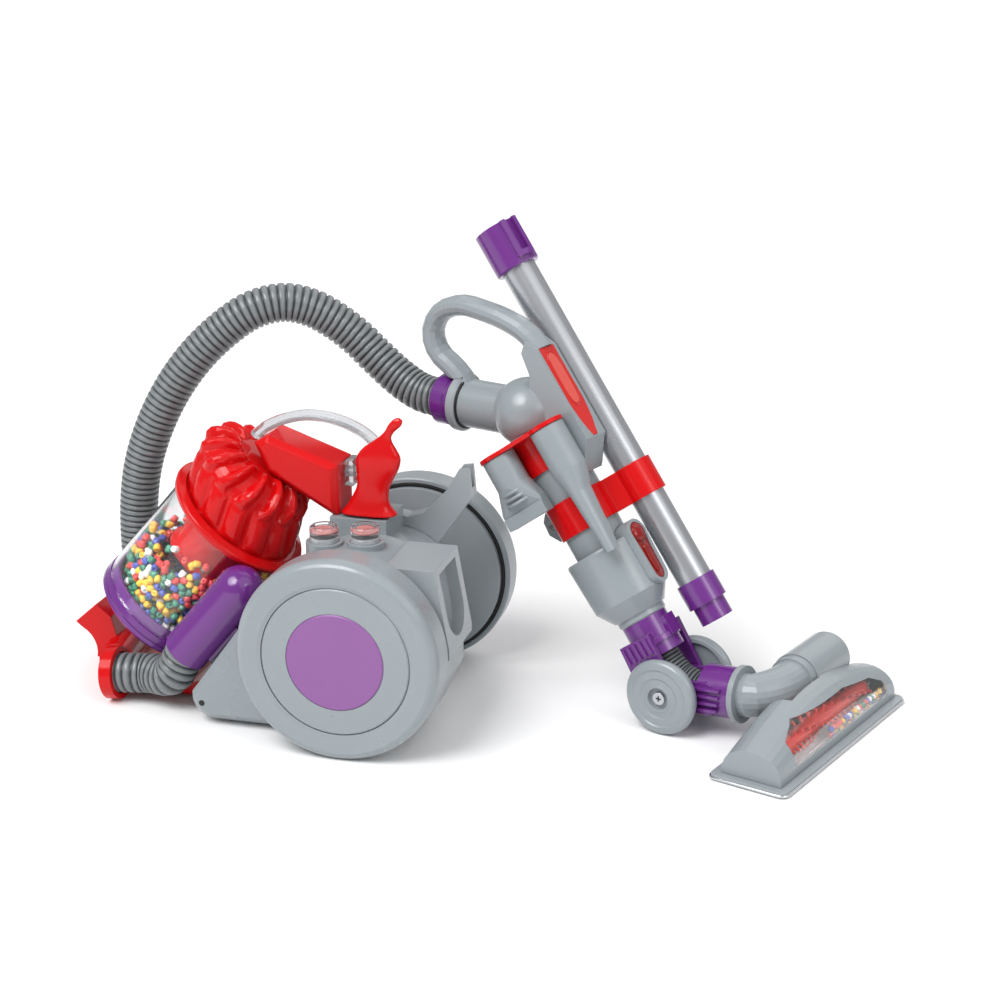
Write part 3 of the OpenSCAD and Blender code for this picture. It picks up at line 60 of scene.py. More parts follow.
# %% Camera
MM = 0.001
CAMERA_AT = Vector((357.2, -1264.84, 581.2))
CAMERA_TURN, CAMERA_DROP = math.radians(14.9), math.radians(18.0)
camera_data = bpy.data.cameras.new("camera")
camera_data.lens, camera_data.sensor_width = 72, 36
camera_data.clip_start, camera_data.clip_end = 0.05, 1000
camera = bpy.data.objects.new("camera", camera_data)
scene.collection.objects.link(camera)
bpy.context.scene.camera = camera
camera.location = CAMERA_AT * MM
looking = Vector((-math.sin(CAMERA_TURN) * math.cos(CAMERA_DROP),
                  math.cos(CAMERA_TURN) * math.cos(CAMERA_DROP), -math.sin(CAMERA_DROP)))
camera.rotation_euler = looking.to_track_quat("-Z", "Y").to_euler()
print("camera", [round(c, 3) for c in camera.location])

# %% [markdown]
# Each half of the toy has its own axes: the canister's start under its axle, the bin leans forwards, and the
# wand leans back from the pivot of the small wheels. Pieces could be placed by sums in the shared frame, but
# a matrix for each lets a piece be drawn in plain millimetres beside the solid that carries it.

# %% Frames of the canister, the bin, the head and the wand
MIDDLE = Vector((62.76, 5.71, 0))  # of the footprint, from the canister's axes
AXLE_Z, PIVOT_Z = 71, 27  # heights of the large wheels' axle and of the small wheels' pivot
BIN_BACK, BIN_RISE = -107.4, 58.5  # from the axle to the middle of the bin's rim
HEAD_AT = (210.4, 19.5, 0)
BIN_LEAN, WAND_YAW, WAND_LEAN, NECK_RISE = (math.radians(a) for a in (40, 19.4, 36.3, 5))
QUARTER = math.pi / 2


def moved(x, y, z):
    return Matrix.Translation((x, y, z))


def turned(angle, axis):
    return Matrix.Rotation(angle, 4, axis)


CANISTER = Matrix.Scale(MM, 4) @ Matrix.Translation(-MIDDLE)
BIN = CANISTER @ moved(BIN_BACK, 0, AXLE_Z + BIN_RISE) @ turned(BIN_LEAN, "Y")
HEAD = CANISTER @ moved(*HEAD_AT) @ turned(-WAND_YAW, "Z")
WAND = HEAD @ moved(0, 0, PIVOT_Z) @ turned(-WAND_LEAN, "Y")
print("pivot of the head at", [round(c, 4) for c in HEAD.translation])

# %% [markdown]
# Every added piece is a mesh of points and faces. It is linked to the scene, tied to a body so that it moves
# with the joints, and given a material slot. That could be done by hand each time, but one function can't
# forget a step. A second one gives the quads between two rings, which most of the round pieces need.


# %% A new piece, and quads between two rings
def piece(name, verts, faces, place, body, finish=None, sharp=0):
    """A smooth mesh, drawn in millimetres in one of the frames, that rides on a body if one is named."""
    mesh = bpy.data.meshes.new(name)
    mesh.from_pydata([place @ Vector(v) for v in verts], [], faces)
    mesh.validate()
    mesh.polygons.foreach_set("use_smooth", [True] * len(mesh.polygons))
    if sharp:
        mesh.set_sharp_from_angle(angle=math.radians(sharp))
    if finish:
        mesh.materials.append(finish)
    made = bpy.data.objects.new(name, mesh)
    scene.collection.objects.link(made)
    if body:
        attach(made, body)
    return made


def band(first, second, count, flip=False):
    """Quads between two rings of points, given the number of each ring's first point."""
    quads = [(first + k, first + (k + 1) % count, second + (k + 1) % count, second + k) for k in range(count)]
    return [q[::-1] for q in quads] if flip else quads


print("a band of four points:", band(0, 4, 4))

# %% [markdown]
# The ribbed hose is blown plastic: rounded ribs with narrow dark grooves, closer together at the low end
# where the hose bunches up. A curve with a bevel would give a plain tube, and a bump map would leave the
# outline smooth, so the ribs are real rings along a smooth line through the route's points.


# %% A smooth line
def smooth_line(points, per=24):
    """Points along a Catmull-Rom curve through the given ones."""
    p = [Vector(q) for q in points]
    line = []
    for i in range(len(p) - 1):
        a, b, c, d = p[max(i - 1, 0)], p[i], p[i + 1], p[min(i + 2, len(p) - 1)]
        for k in range(per):
            t = k / per
            line.append(0.5 * (2 * b + (c - a) * t + (2 * a - 5 * b + 4 * c - d) * t * t
                               + (3 * b - a - 3 * c + d) * t ** 3))
    return np.array(line + [p[-1]], float)


def spaced(line, at):
    """The line's points at the given lengths along it."""
    far = np.concatenate([[0], np.cumsum(np.linalg.norm(np.diff(line, axis=0), axis=1))])
    return np.stack([np.interp(at, far, line[:, k]) for k in range(3)], axis=1)


def line_length(line):
    return float(np.linalg.norm(np.diff(line, axis=0), axis=1).sum())


print("a line through a corner:", round(line_length(smooth_line([(0, 0, 0), (1, 0, 0), (1, 1, 0)])), 3))

# %% Ribs and hoops along a line
# Each pair is a share of the rib's pitch and a share of the groove's depth.
RIB_SHAPE = [(0, 1), (0.1, 0.55), (0.2, 0.16), (0.36, 0), (0.64, 0), (0.8, 0.16), (0.9, 0.55)]
SIDEWAYS = np.array((0, 1, 0), float)
REACH = 0.4  # the line's direction is taken this far before and after a point


def rib_rows(total, pitches):
    """Lengths along a hose and the groove's depth there; pitches are the rib spacing at the two ends."""
    count = round(total / (0.5 * (pitches[0] + pitches[1])))
    share = np.cumsum(np.linspace(pitches[0], pitches[1], count))
    starts = np.concatenate([[0], share]) * total / share[-1]
    at, depth = [], []
    for i in range(count):
        for t, d in RIB_SHAPE:
            at.append(starts[i] + t * (starts[i + 1] - starts[i]))
            depth.append(d)
    return np.array(at + [total]), np.array(depth + [1])


def hoops(line, at, around):
    """The middle of a hoop at each length along the line, and the ways out to the hoop's points."""
    ahead = spaced(line, np.minimum(at + REACH, line_length(line))) - spaced(line, np.maximum(at - REACH, 0))
    ahead /= np.linalg.norm(ahead, axis=1)[:, None]
    u = np.cross(SIDEWAYS, ahead)
    u /= np.linalg.norm(u, axis=1)[:, None]
    v = np.cross(ahead, u)
    turns = np.linspace(0, 2 * math.pi, around, endpoint=False)
    ways = [[u[i] * math.cos(a) + v[i] * math.sin(a) for a in turns] for i in range(len(at))]
    return spaced(line, at), np.array(ways)


print(len(rib_rows(100, (5, 5))[0]), "hoops for twenty ribs")

# %% A hollow ribbed tube
TUBE_WALL, PATH_POINTS = 1.2, 160


def ribbed_tube(name, route, across, rib, pitches, place, body, around=40):
    """A tube with ribs outside and a plain bore; also gives its middle line and its length in metres."""
    line = smooth_line(route)
    total = line_length(line)
    at, depth = rib_rows(total, pitches)
    centre, ways = hoops(line, at, around)
    inner = list(range(0, len(at), len(RIB_SHAPE))) + [len(at) - 1]
    rings = [(i, across / 2 - rib * depth[i], depth[i]) for i in range(len(at))]
    rings += [(i, across / 2 - rib - TUBE_WALL, 1) for i in inner]
    verts = [v for i, radius, _ in rings for v in centre[i] + radius * ways[i]]
    groove = [deep for _, _, deep in rings for _ in range(around)]
    bore = len(at) * around
    faces = []
    for start in range(0, bore - around, around):
        faces += band(start, start + around, around)
    for start in range(bore, len(verts) - around, around):
        faces += band(start, start + around, around, True)
    faces += band(0, bore, around, True)
    faces += band(bore - around, len(verts) - around, around)
    made = piece(name, verts, faces, place, body)
    made.data.attributes.new("groove", "FLOAT", "POINT").data.foreach_set("value", groove)
    path = spaced(line, np.linspace(0, total, PATH_POINTS))
    return made, [place @ Vector(q) for q in path], total * MM


print("a tube's bore is", TUBE_WALL, "mm under its grooves")

# %% [markdown]
# The main hose runs from the mouth of the handle over the canister and down into the inlet. It could be left
# to hang by a simulation, but the photograph shows it from end to end, so it follows a route of fixed points.

# %% Main hose, from the handle over the canister to the inlet
HOSE_ROUTE_M = [
    (0.0463, 0.0773, 0.203), (0.0327, 0.0821, 0.203), (0.019, 0.0869, 0.203), (0.001, 0.093, 0.2045),
    (-0.017, 0.098, 0.213), (-0.035, 0.1, 0.227), (-0.05, 0.099, 0.241), (-0.066, 0.095, 0.254),
    (-0.083, 0.089, 0.264), (-0.101, 0.081, 0.268), (-0.121, 0.072, 0.263), (-0.141, 0.065, 0.249),
    (-0.161, 0.059, 0.229), (-0.179, 0.055, 0.204), (-0.194, 0.053, 0.175), (-0.205, 0.053, 0.144),
    (-0.211, 0.055, 0.112), (-0.213, 0.057, 0.08), (-0.212, 0.057, 0.062), (-0.212, 0.057, 0.046),
    (-0.212, 0.057, 0.033), (-0.212, 0.057, 0.02)]
HOSE_ACROSS, HOSE_RIB, HOSE_PITCHES = 28.6, 1.8, (5.6, 4.3)
hose, hose_line, hose_length = ribbed_tube(
    "ribbed_hose", [[c / MM for c in p] for p in HOSE_ROUTE_M], HOSE_ACROSS, HOSE_RIB, HOSE_PITCHES,
    CANISTER, "canister")
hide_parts("hose")
print("main hose", round(1000 * hose_length), "mm,", len(hose.data.polygons), "faces")

# %% [markdown]
# The short hose is a length of the same tube. It leaves the purple duct beside the bin and turns into the red
# inlet at the front. Its route could be drawn by eye, but its two ends are fixed by what they go into, so the
# first points lie on the duct's axis and the last ones on the inlet's.

# %% Short hose
DUCT_SIDE, DUCT_Y = 37.5, -55  # the duct's axis in the bin's frame
NEAR_END, NEAR_TILT = Vector((-189, -46, 19.3)), math.radians(5)
NEAR_WAY = Vector((math.cos(NEAR_TILT), 0, math.sin(NEAR_TILT)))
SHORT_ACROSS, SHORT_RIB, SHORT_PITCHES = 29, 2.0, (5.8, 5.8)


def on_duct(a):
    """A place on the duct's axis, in the canister's millimetres."""
    return CANISTER.inverted() @ (BIN @ Vector((DUCT_SIDE, DUCT_Y, a)))


short_route = [on_duct(-49), on_duct(-63), on_duct(-78), Vector((-141, -53.5, 26)),
               NEAR_END + 29 * NEAR_WAY, NEAR_END + 14.5 * NEAR_WAY, NEAR_END]
short_hose, _, short_length = ribbed_tube("short_hose", short_route, SHORT_ACROSS, SHORT_RIB, SHORT_PITCHES,
                                          CANISTER, "canister")
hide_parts("inlet_hose")
print("short hose", round(1000 * short_length), "mm")

# %% [markdown]
# The bellows bridge the pivot between the two yokes. Bones or a lattice could bend them, but here the tube
# is drawn once, in the head's frame, along a route that starts on the wand's axis and ends on the neck's.

# %% Bellows between the yokes
BELLOWS_ACROSS, BELLOWS_RIB, BELLOWS_PITCHES, BELLOWS_AROUND = 22, 1.6, (3.2, 3.2), 36


def on_wand(s):
    return Vector((-s * math.sin(WAND_LEAN), 0, PIVOT_Z + s * math.cos(WAND_LEAN)))


def on_neck(d):
    return Vector((d * math.cos(NECK_RISE), 0, PIVOT_Z + d * math.sin(NECK_RISE)))


bellows_route = [on_wand(40), on_wand(33), on_wand(26), on_wand(16) + Vector((1, 0, 0)),
                 on_wand(6) + Vector((4, 0, 1)), on_neck(8) + Vector((2, 0, 2)), on_neck(17), on_neck(25),
                 on_neck(31), on_neck(37)]
bellows, _, bellows_length = ribbed_tube("bellows_tube", bellows_route, BELLOWS_ACROSS, BELLOWS_RIB,
                                         BELLOWS_PITCHES, HEAD, None, BELLOWS_AROUND)
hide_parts("bellows")
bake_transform(bellows)
print("bellows", round(1000 * bellows_length), "mm")

# %% [markdown]
# Moulded plastic is never one flat colour: the surface has a fine grain, its gloss changes a little from
# place to place, and its edges are rounded and catch the light, with a paler colour painted along them as a
# highlight. These effects could be wired up again in each material, but they are shared, so each is a node
# group that is built once and placed with its own values.


# %% Helpers that build a node tree
def new_group(name, inputs, outputs):
    """An empty shader node group with named sockets, and its two end nodes."""
    group = bpy.data.node_groups.new(name, "ShaderNodeTree")
    for label, kind, value in inputs:
        socket = group.interface.new_socket(label, in_out="INPUT", socket_type=kind)
        socket.default_value = value
    for label, kind in outputs:
        group.interface.new_socket(label, in_out="OUTPUT", socket_type=kind)
    return group, group.nodes.new("NodeGroupInput"), group.nodes.new("NodeGroupOutput")


def add(tree, kind, **settings):
    """A node with its settings."""
    node = tree.nodes.new(kind)
    for key, value in settings.items():
        setattr(node, key, value)
    return node


def put(tree, node, socket, value):
    """Link a socket to another one, or set its plain value."""
    target = node.inputs[socket]
    if isinstance(value, bpy.types.NodeSocket):
        tree.links.new(value, target)
    else:
        target.default_value = value


def noise(tree, scale, detail=3.0, rough=0.55):
    where = add(tree, "ShaderNodeTexCoord")
    node = add(tree, "ShaderNodeTexNoise")
    put(tree, node, "Vector", where.outputs["Object"])
    put(tree, node, "Scale", scale)
    put(tree, node, "Detail", detail)
    put(tree, node, "Roughness", rough)
    return node.outputs["Fac"]


def sums(tree, operation, *values, clamp=False):
    node = add(tree, "ShaderNodeMath", operation=operation, use_clamp=clamp)
    for i, value in enumerate(values):
        put(tree, node, i, value)
    return node.outputs[0]


def blend_colours(tree, share, first, second):
    """A colour between two others, each a socket or a plain value."""
    node = add(tree, "ShaderNodeMix", data_type="RGBA")
    put(tree, node, "Factor", share)
    for label, value in (("A", first), ("B", second)):
        number = [i for i, s in enumerate(node.inputs) if s.name == label and s.type == "RGBA"][0]
        put(tree, node, number, value)
    return [s for s in node.outputs if s.type == "RGBA"][0]


print("node helpers ready")

# %% Group for the grain of moulded plastic
FLOW_SCALE, FLOW_DETAIL, FINE_DETAIL, FINE_SHARE = 22.0, 4.0, 2.0, 0.12
grain_group, given, result = new_group(
    "moulded_grain",
    [("Colour", "NodeSocketColor", (0.5, 0.5, 0.5, 1)), ("Shade", "NodeSocketColor", (0.4, 0.4, 0.4, 1)),
     ("Grain", "NodeSocketFloat", 900.0), ("Mottle", "NodeSocketFloat", 0.5),
     ("Rough", "NodeSocketFloat", 0.35), ("Rough Spread", "NodeSocketFloat", 0.12)],
    [("Colour", "NodeSocketColor"), ("Roughness", "NodeSocketFloat"), ("Height", "NodeSocketFloat")])
flow = noise(grain_group, FLOW_SCALE, FLOW_DETAIL)
fine = noise(grain_group, given.outputs["Grain"], FINE_DETAIL)
mixed = sums(grain_group, "MULTIPLY_ADD", fine, FINE_SHARE, flow)
share = sums(grain_group, "MULTIPLY", mixed, given.outputs["Mottle"], clamp=True)
tint = blend_colours(grain_group, share, given.outputs["Colour"], given.outputs["Shade"])
swing = sums(grain_group, "MULTIPLY", sums(grain_group, "SUBTRACT", flow, 0.5), given.outputs["Rough Spread"])
put(grain_group, result, "Colour", tint)
put(grain_group, result, "Roughness", sums(grain_group, "ADD", given.outputs["Rough"], swing))
put(grain_group, result, "Height", fine)
print(grain_group.name, "has", len(grain_group.nodes), "nodes")

# %% Group for rounded edges and the mask of their painted highlight
BEVEL_SAMPLES = 6
edge_group, given, result = new_group(
    "rounded_edge",
    [("Radius", "NodeSocketFloat", 0.0006), ("Strength", "NodeSocketFloat", 6.0)],
    [("Normal", "NodeSocketVector"), ("Edge", "NodeSocketFloat")])
bevel = add(edge_group, "ShaderNodeBevel", samples=BEVEL_SAMPLES)
put(edge_group, bevel, "Radius", given.outputs["Radius"])
flat = add(edge_group, "ShaderNodeNewGeometry")
facing = add(edge_group, "ShaderNodeVectorMath", operation="DOT_PRODUCT")
put(edge_group, facing, 0, bevel.outputs["Normal"])
put(edge_group, facing, 1, flat.outputs["Normal"])
# Edge is high where the rounded normal turns away from the flat one; it masks the painted edge highlight.
away = sums(edge_group, "SUBTRACT", 1.0, facing.outputs["Value"])
put(edge_group, result, "Edge", sums(edge_group, "MULTIPLY", away, given.outputs["Strength"], clamp=True))
put(edge_group, result, "Normal", bevel.outputs["Normal"])
print(edge_group.name, "has", len(edge_group.nodes), "nodes")

# %% Group for the grooves of a ribbed hose
groove_group, given, result = new_group(
    "rib_groove",
    [("Crown", "NodeSocketColor", (0.3, 0.3, 0.3, 1)), ("Groove", "NodeSocketColor", (0.05, 0.05, 0.05, 1)),
     ("Width", "NodeSocketFloat", 1.6)],
    [("Colour", "NodeSocketColor"), ("Depth", "NodeSocketFloat")])
# Deeper in a groove the colour turns darker: painted shade in the grooves.
deep = add(groove_group, "ShaderNodeAttribute", attribute_name="groove")
depth = sums(groove_group, "POWER", deep.outputs["Fac"], given.outputs["Width"], clamp=True)
shaded = blend_colours(groove_group, depth, given.outputs["Crown"], given.outputs["Groove"])
put(groove_group, result, "Colour", shaded)
put(groove_group, result, "Depth", depth)
print("groups", [g.name for g in bpy.data.node_groups])

# %% [markdown]
# One function makes every opaque plastic: grain and edge groups feed a Principled shader, and the values
# that are the same all over stay on the shader's own sockets. Each plastic could be wired up by hand, but then
# they would drift apart. The colours are set against the photograph: a cool silver gray, a strong red and two
# purples.


# %% Helpers for a material
GRAIN_DEPTH = 0.0002


def placed(tree, group, **values):
    """A group placed in a material; an underscore in a name stands for a space."""
    node = tree.nodes.new("ShaderNodeGroup")
    node.node_tree = group
    for label, value in values.items():
        put(tree, node, label.replace("_", " "), value)
    return node


def hexed(code):
    """A linear colour from the usual six hexadecimal digits."""
    parts = [int(code[i:i + 2], 16) / 255 for i in (0, 2, 4)]
    return tuple(c / 12.92 if c <= 0.04045 else ((c + 0.055) / 1.055) ** 2.4 for c in parts) + (1.0,)


def bare_material(name):
    made = bpy.data.materials.new(name)
    made.use_nodes = True
    return made, made.node_tree, made.node_tree.nodes["Principled BSDF"]


def feed(tree, skin, colour, roughness):
    """Lead a colour and a roughness that change over the surface to the shader."""
    put(tree, skin, "Base Color", colour)
    put(tree, skin, "Roughness", roughness)


def relief(tree, skin, strength, height, normal=None):
    """A fine bump, over another normal if there is one."""
    bump = add(tree, "ShaderNodeBump")
    put(tree, bump, "Strength", strength)
    put(tree, bump, "Distance", GRAIN_DEPTH)
    put(tree, bump, "Height", height)
    if normal:
        put(tree, bump, "Normal", normal)
    put(tree, skin, "Normal", bump.outputs["Normal"])


print("red is", [round(c, 3) for c in hexed("cc0c10")])

# %% Opaque plastics
# The first two numbers make the paler colour of the painted edge highlight.
HIGHLIGHT_GAIN, HIGHLIGHT_ADD, MOTTLE, COAT_ROUGH = 1.5, 0.05, 0.5, 0.08


def moulded(name, colour, shade, rough=0.35, spread=0.14, grain=900.0, bump=0.02, edge=0.0006, edge_highlight=0.25,
            coat=0.0, metal=0.0, gloss=0.5):
    made, tree, skin = bare_material(name)
    surface = placed(tree, grain_group, Colour=hexed(colour), Shade=hexed(shade), Grain=grain, Mottle=MOTTLE,
                     Rough=rough, Rough_Spread=spread)
    rim = placed(tree, edge_group, Radius=edge)
    # Along the edges the colour is mixed towards a paler one: a painted highlight.
    painted_highlight_mask = sums(tree, "MULTIPLY", rim.outputs["Edge"], edge_highlight)
    highlight_colour = tuple(min(1.0, HIGHLIGHT_GAIN * c + HIGHLIGHT_ADD) for c in hexed(colour)[:3]) + (1.0,)
    highlighted_colour = blend_colours(tree, painted_highlight_mask, surface.outputs["Colour"], highlight_colour)
    feed(tree, skin, highlighted_colour, surface.outputs["Roughness"])
    relief(tree, skin, bump, surface.outputs["Height"], rim.outputs["Normal"])
    skin.inputs["Metallic"].default_value = metal
    skin.inputs["Specular IOR Level"].default_value = gloss
    skin.inputs["Coat Weight"].default_value = coat
    skin.inputs["Coat Roughness"].default_value = COAT_ROUGH
    return made


silver_gray = moulded("silver_gray_plastic", "8c9498", "868e92", 0.28, spread=0.05, coat=0.15)
pale_gray = moulded("pale_gray_plastic", "92999d", "8c9397", 0.32, spread=0.05, coat=0.12)
dark_gray = moulded("dark_gray_plastic", "44474b", "36393d", 0.45)
black_trim_and_shade = moulded("black_trim_and_shade", "131416", "0a0b0c", 0.5, edge_highlight=0.05)
purple = moulded("purple_plastic", "68287f", "5a2072", 0.2, coat=0.35, edge_highlight=0.12)
lavender = moulded("lavender_disc", "875692", "7f4e8b", 0.38)
red = moulded("red_plastic", "cc0c10", "b8080c", 0.16, coat=0.1, edge_highlight=0.04, edge=0.001, gloss=0.22)
duct_red = moulded("duct_red_plastic", "cc0c10", "b8080c", 0.2, coat=0.06, edge_highlight=0.02, edge=0.003, gloss=0.2)
silver_tube = moulded("silver_lacquer", "b4b6ba", "a3a6ab", 0.28, metal=0.75, grain=2500.0, bump=0.03)
chrome = moulded("chrome_strip", "d4d6d9", "b9bcc0", 0.12, metal=1.0, grain=2500.0, bump=0.01)
steel = moulded("bright_steel", "c4c6ca", "a9acb1", 0.25, metal=1.0, grain=2500.0)
cell_wrap = moulded("cell_wrap", "35696c", "28555a", 0.3, coat=0.3)
print("opaque finishes", len(bpy.data.materials))

# %% [markdown]
# The clear parts are thick acrylic. Glass alone would leave the beads behind it in the dark, because light
# from the lamps can't follow a bent path, so rays from the lamps pass straight through by a Transparent
# shader. The tinted red parts could be red glass too, but nothing has to be seen through them, so they are
# opaque with a little light let in under the skin.


# %% Clear plastics
CLEAR_IOR, LAMPS_THROUGH, HAZE_SCALE, HAZE_SPREAD = 1.46, (0.97, 0.97, 0.97, 1), 60.0, 0.04


def clear(name, colour, rough=0.03, see_through=1.0):
    made, tree, skin = bare_material(name)
    put(tree, skin, "Roughness", sums(tree, "MULTIPLY_ADD", noise(tree, HAZE_SCALE), HAZE_SPREAD, rough))
    skin.inputs["Base Color"].default_value = colour
    skin.inputs["Transmission Weight"].default_value = see_through
    skin.inputs["IOR"].default_value = CLEAR_IOR
    through = add(tree, "ShaderNodeBsdfTransparent")
    through.inputs["Color"].default_value = LAMPS_THROUGH
    path = add(tree, "ShaderNodeLightPath")
    either = add(tree, "ShaderNodeMixShader")
    put(tree, either, 0, path.outputs["Is Shadow Ray"])
    put(tree, either, 1, skin.outputs[0])
    put(tree, either, 2, through.outputs[0])
    put(tree, tree.nodes["Material Output"], "Surface", either.outputs[0])
    return made


clear_plastic = clear("clear_plastic", (0.95, 0.96, 0.97, 1))
clear_button = clear("clear_button", (0.97, 0.94, 0.94, 1))
smoky_clear = clear("smoky_clear", (0.63, 0.64, 0.66, 1), rough=0.12, see_through=0.9)
print("clear finishes made")

# %% Tinted plastics
TINT_EDGE, TINT_DEPTH, TINT_GLOSS, TINT_COAT, TINT_COAT_ROUGH = 0.0008, 0.003, 0.35, 0.3, 0.05


def tinted(name, colour, shade, rough, haze):
    made, tree, skin = bare_material(name)
    surface = placed(tree, grain_group, Colour=hexed(colour), Shade=hexed(shade), Grain=500.0, Mottle=0.6,
                     Rough=rough, Rough_Spread=0.1)
    rim = placed(tree, edge_group, Radius=TINT_EDGE)
    feed(tree, skin, surface.outputs["Colour"], surface.outputs["Roughness"])
    put(tree, skin, "Normal", rim.outputs["Normal"])
    skin.inputs["Subsurface Weight"].default_value = haze
    skin.inputs["Subsurface Scale"].default_value = TINT_DEPTH
    skin.inputs["Specular IOR Level"].default_value = TINT_GLOSS
    skin.inputs["Coat Weight"].default_value = TINT_COAT
    skin.inputs["Coat Roughness"].default_value = TINT_COAT_ROUGH
    return made


tinted_red = tinted("tinted_red_plastic", "cf2622", "bc1d1a", 0.16, 0.25)
pad_red = tinted("pad_red", "e0584e", "d44c43", 0.25, 0.35)
button_pink = tinted("button_pink", "b98684", "a97471", 0.2, 0.3)
deep_tinted_red = tinted("deep_tinted_red", "8e120e", "6f0c0a", 0.1, 0.12)
brush_pink = tinted("brush_pink", "ea5a50", "d8423c", 0.3, 0.3)
print("tinted finishes made")

# %% [markdown]
# The grooves of the hose are darker than its ribs, because little light gets into them. A picture of stripes
# would have to be unwrapped along the hose, so the depth of the groove was stored on each point when the ribs
# were made, and the material reads it as an attribute.

# %% Hose plastic with dark grooves
HOSE_BUMP = 0.05


def ribbed(name, crown, groove, rough, width):
    made, tree, skin = bare_material(name)
    stripes = placed(tree, groove_group, Crown=hexed(crown), Groove=hexed(groove), Width=width)
    surface = placed(tree, grain_group, Colour=stripes.outputs["Colour"], Shade=hexed(groove), Grain=1200.0,
                     Mottle=0.12, Rough=rough, Rough_Spread=0.15)
    feed(tree, skin, surface.outputs["Colour"], surface.outputs["Roughness"])
    relief(tree, skin, HOSE_BUMP, surface.outputs["Height"])
    return made


# The second colour is the painted shade at the bottom of the grooves.
hose_gray = ribbed("hose_gray", "7b8082", "1f2426", 0.26, 0.75)
bellows_gray = ribbed("bellows_gray", "5f6366", "1d1f21", 0.4, 1.0)
hose.data.materials.append(hose_gray)
short_hose.data.materials.append(hose_gray)
bellows.data.materials.append(bellows_gray)
print("hoses finished")

# %% [markdown]
# Each solid now gets the finish of the real piece. Finishes could be picked one by one in the Materials tab,
# but a table from finish to pieces shows what is moulded from the same plastic, and a loop leaves none out.

# %% Give each solid its finish
FINISHES = {
    silver_gray: "base_housing top_housing wheel_rim_near wheel_rim_far wheel_cap_near wheel_cap_far "
                 "battery_door handle_body wand_tube crevice_tool upholstery_tool wand_cup release_bezel "
                 "head_wheel_near head_wheel_far neck_elbow head_cover",
    pale_gray: "dock_block dock_arm side_discs handle_ring soleplate",
    dark_gray: "bead_impeller button_switches",
    purple: "bin_base inlet_duct hose_cuff extension_socket extension_spigot upper_yoke lower_yoke",
    lavender: "wheel_disc_near wheel_disc_far",
    red: "bin_flange bin_shroud cyclone_pack release_lever hose_inlet tool_holder tube_clip",
    duct_red: "top_duct",
    tinted_red: "trigger",
    deep_tinted_red: "release_button",
    clear_button: "power_button rewind_button",
    clear_plastic: "dust_bin head_window",
    smoky_clear: "carry_handle",
    silver_tube: "extension_tube",
    brush_pink: "brush_roll",
    steel: "axle lever_pin yoke_pins bead_motor",
    cell_wrap: "batteries",
    hose_gray: "hose inlet_hose",
    bellows_gray: "bellows",
}


def dress(name, finish):
    nodes[name].data.materials.clear()
    nodes[name].data.materials.append(finish)


for finish, names in FINISHES.items():
    for name in names.split():
        dress(name, finish)
print(sum(len(n.split()) for n in FINISHES.values()), "solids have a finish")

# %% [markdown]
# The beads are short plastic tubes in five bright colours, loose in the bin and in the window of the head.
# A particle system would place them at random, but a lattice with a fixed jitter is the same on every run
# and keeps each bead inside the wall. One mesh holds them all, and a colour attribute paints each bead.

# %% One bead, and many of them
BEAD_PAINTS = ("f4c010", "dc1f1c", "087a5e", "f4f4f2", "2a48b0", "f4c010", "dc1f1c", "0b8a6c")
BEAD_COLOURS = [hexed(c) for c in BEAD_PAINTS]
BEAD_AROUND, BEAD_COAT, FULL_TURN = 10, 0.3, 6.28
dice = np.random.default_rng(7)


def bead_mesh(across, long):
    """A short rounded tube: rings of a profile, closed at both ends."""
    r, h = across / 2, long / 2
    profile = [(0.35 * r, -h), (0.8 * r, -h), (r, -0.55 * h), (r, 0.55 * h), (0.8 * r, h), (0.35 * r, h),
               (0.3 * r, 0.3 * h)]
    turns = [2 * math.pi * k / BEAD_AROUND for k in range(BEAD_AROUND)]
    verts = [(x * math.cos(t), x * math.sin(t), z) for x, z in profile for t in turns]
    last = len(verts) - BEAD_AROUND
    faces = []
    for start in range(0, last, BEAD_AROUND):
        faces += band(start, start + BEAD_AROUND, BEAD_AROUND)
    return verts, faces + [tuple(range(BEAD_AROUND))[::-1], tuple(range(last, len(verts)))]


def beads(name, places, place, body, across, long):
    base, base_faces = bead_mesh(across, long)
    verts, faces, paint = [], [], []
    for spot in places:
        roll = Matrix.Rotation(dice.uniform(0, FULL_TURN), 3, "Z")
        spin = roll @ Matrix.Rotation(math.acos(dice.uniform(-1, 1)), 3, "X")
        start = len(verts)
        verts += [Vector(spot) + spin @ Vector(v) for v in base]
        faces += [[start + k for k in f] for f in base_faces]
        paint += [BEAD_COLOURS[dice.integers(len(BEAD_COLOURS))]] * len(base)
    made = piece(name, verts, faces, place, body, bead_finish)
    layer = made.data.color_attributes.new("bead_colour", "FLOAT_COLOR", "POINT")
    layer.data.foreach_set("color", np.array(paint, np.float32).ravel())
    return made


bead_finish, tree, skin = bare_material("bead_plastic")
painted = add(tree, "ShaderNodeAttribute", attribute_name="bead_colour")
surface = placed(tree, grain_group, Colour=painted.outputs["Color"], Shade=(0.75, 0.7, 0.6, 1), Grain=900.0,
                 Mottle=0.12, Rough=0.3, Rough_Spread=0.2)
feed(tree, skin, surface.outputs["Colour"], surface.outputs["Roughness"])
skin.inputs["Coat Weight"].default_value = BEAD_COAT
print("a bead has", len(bead_mesh(5, 5)[1]), "faces")

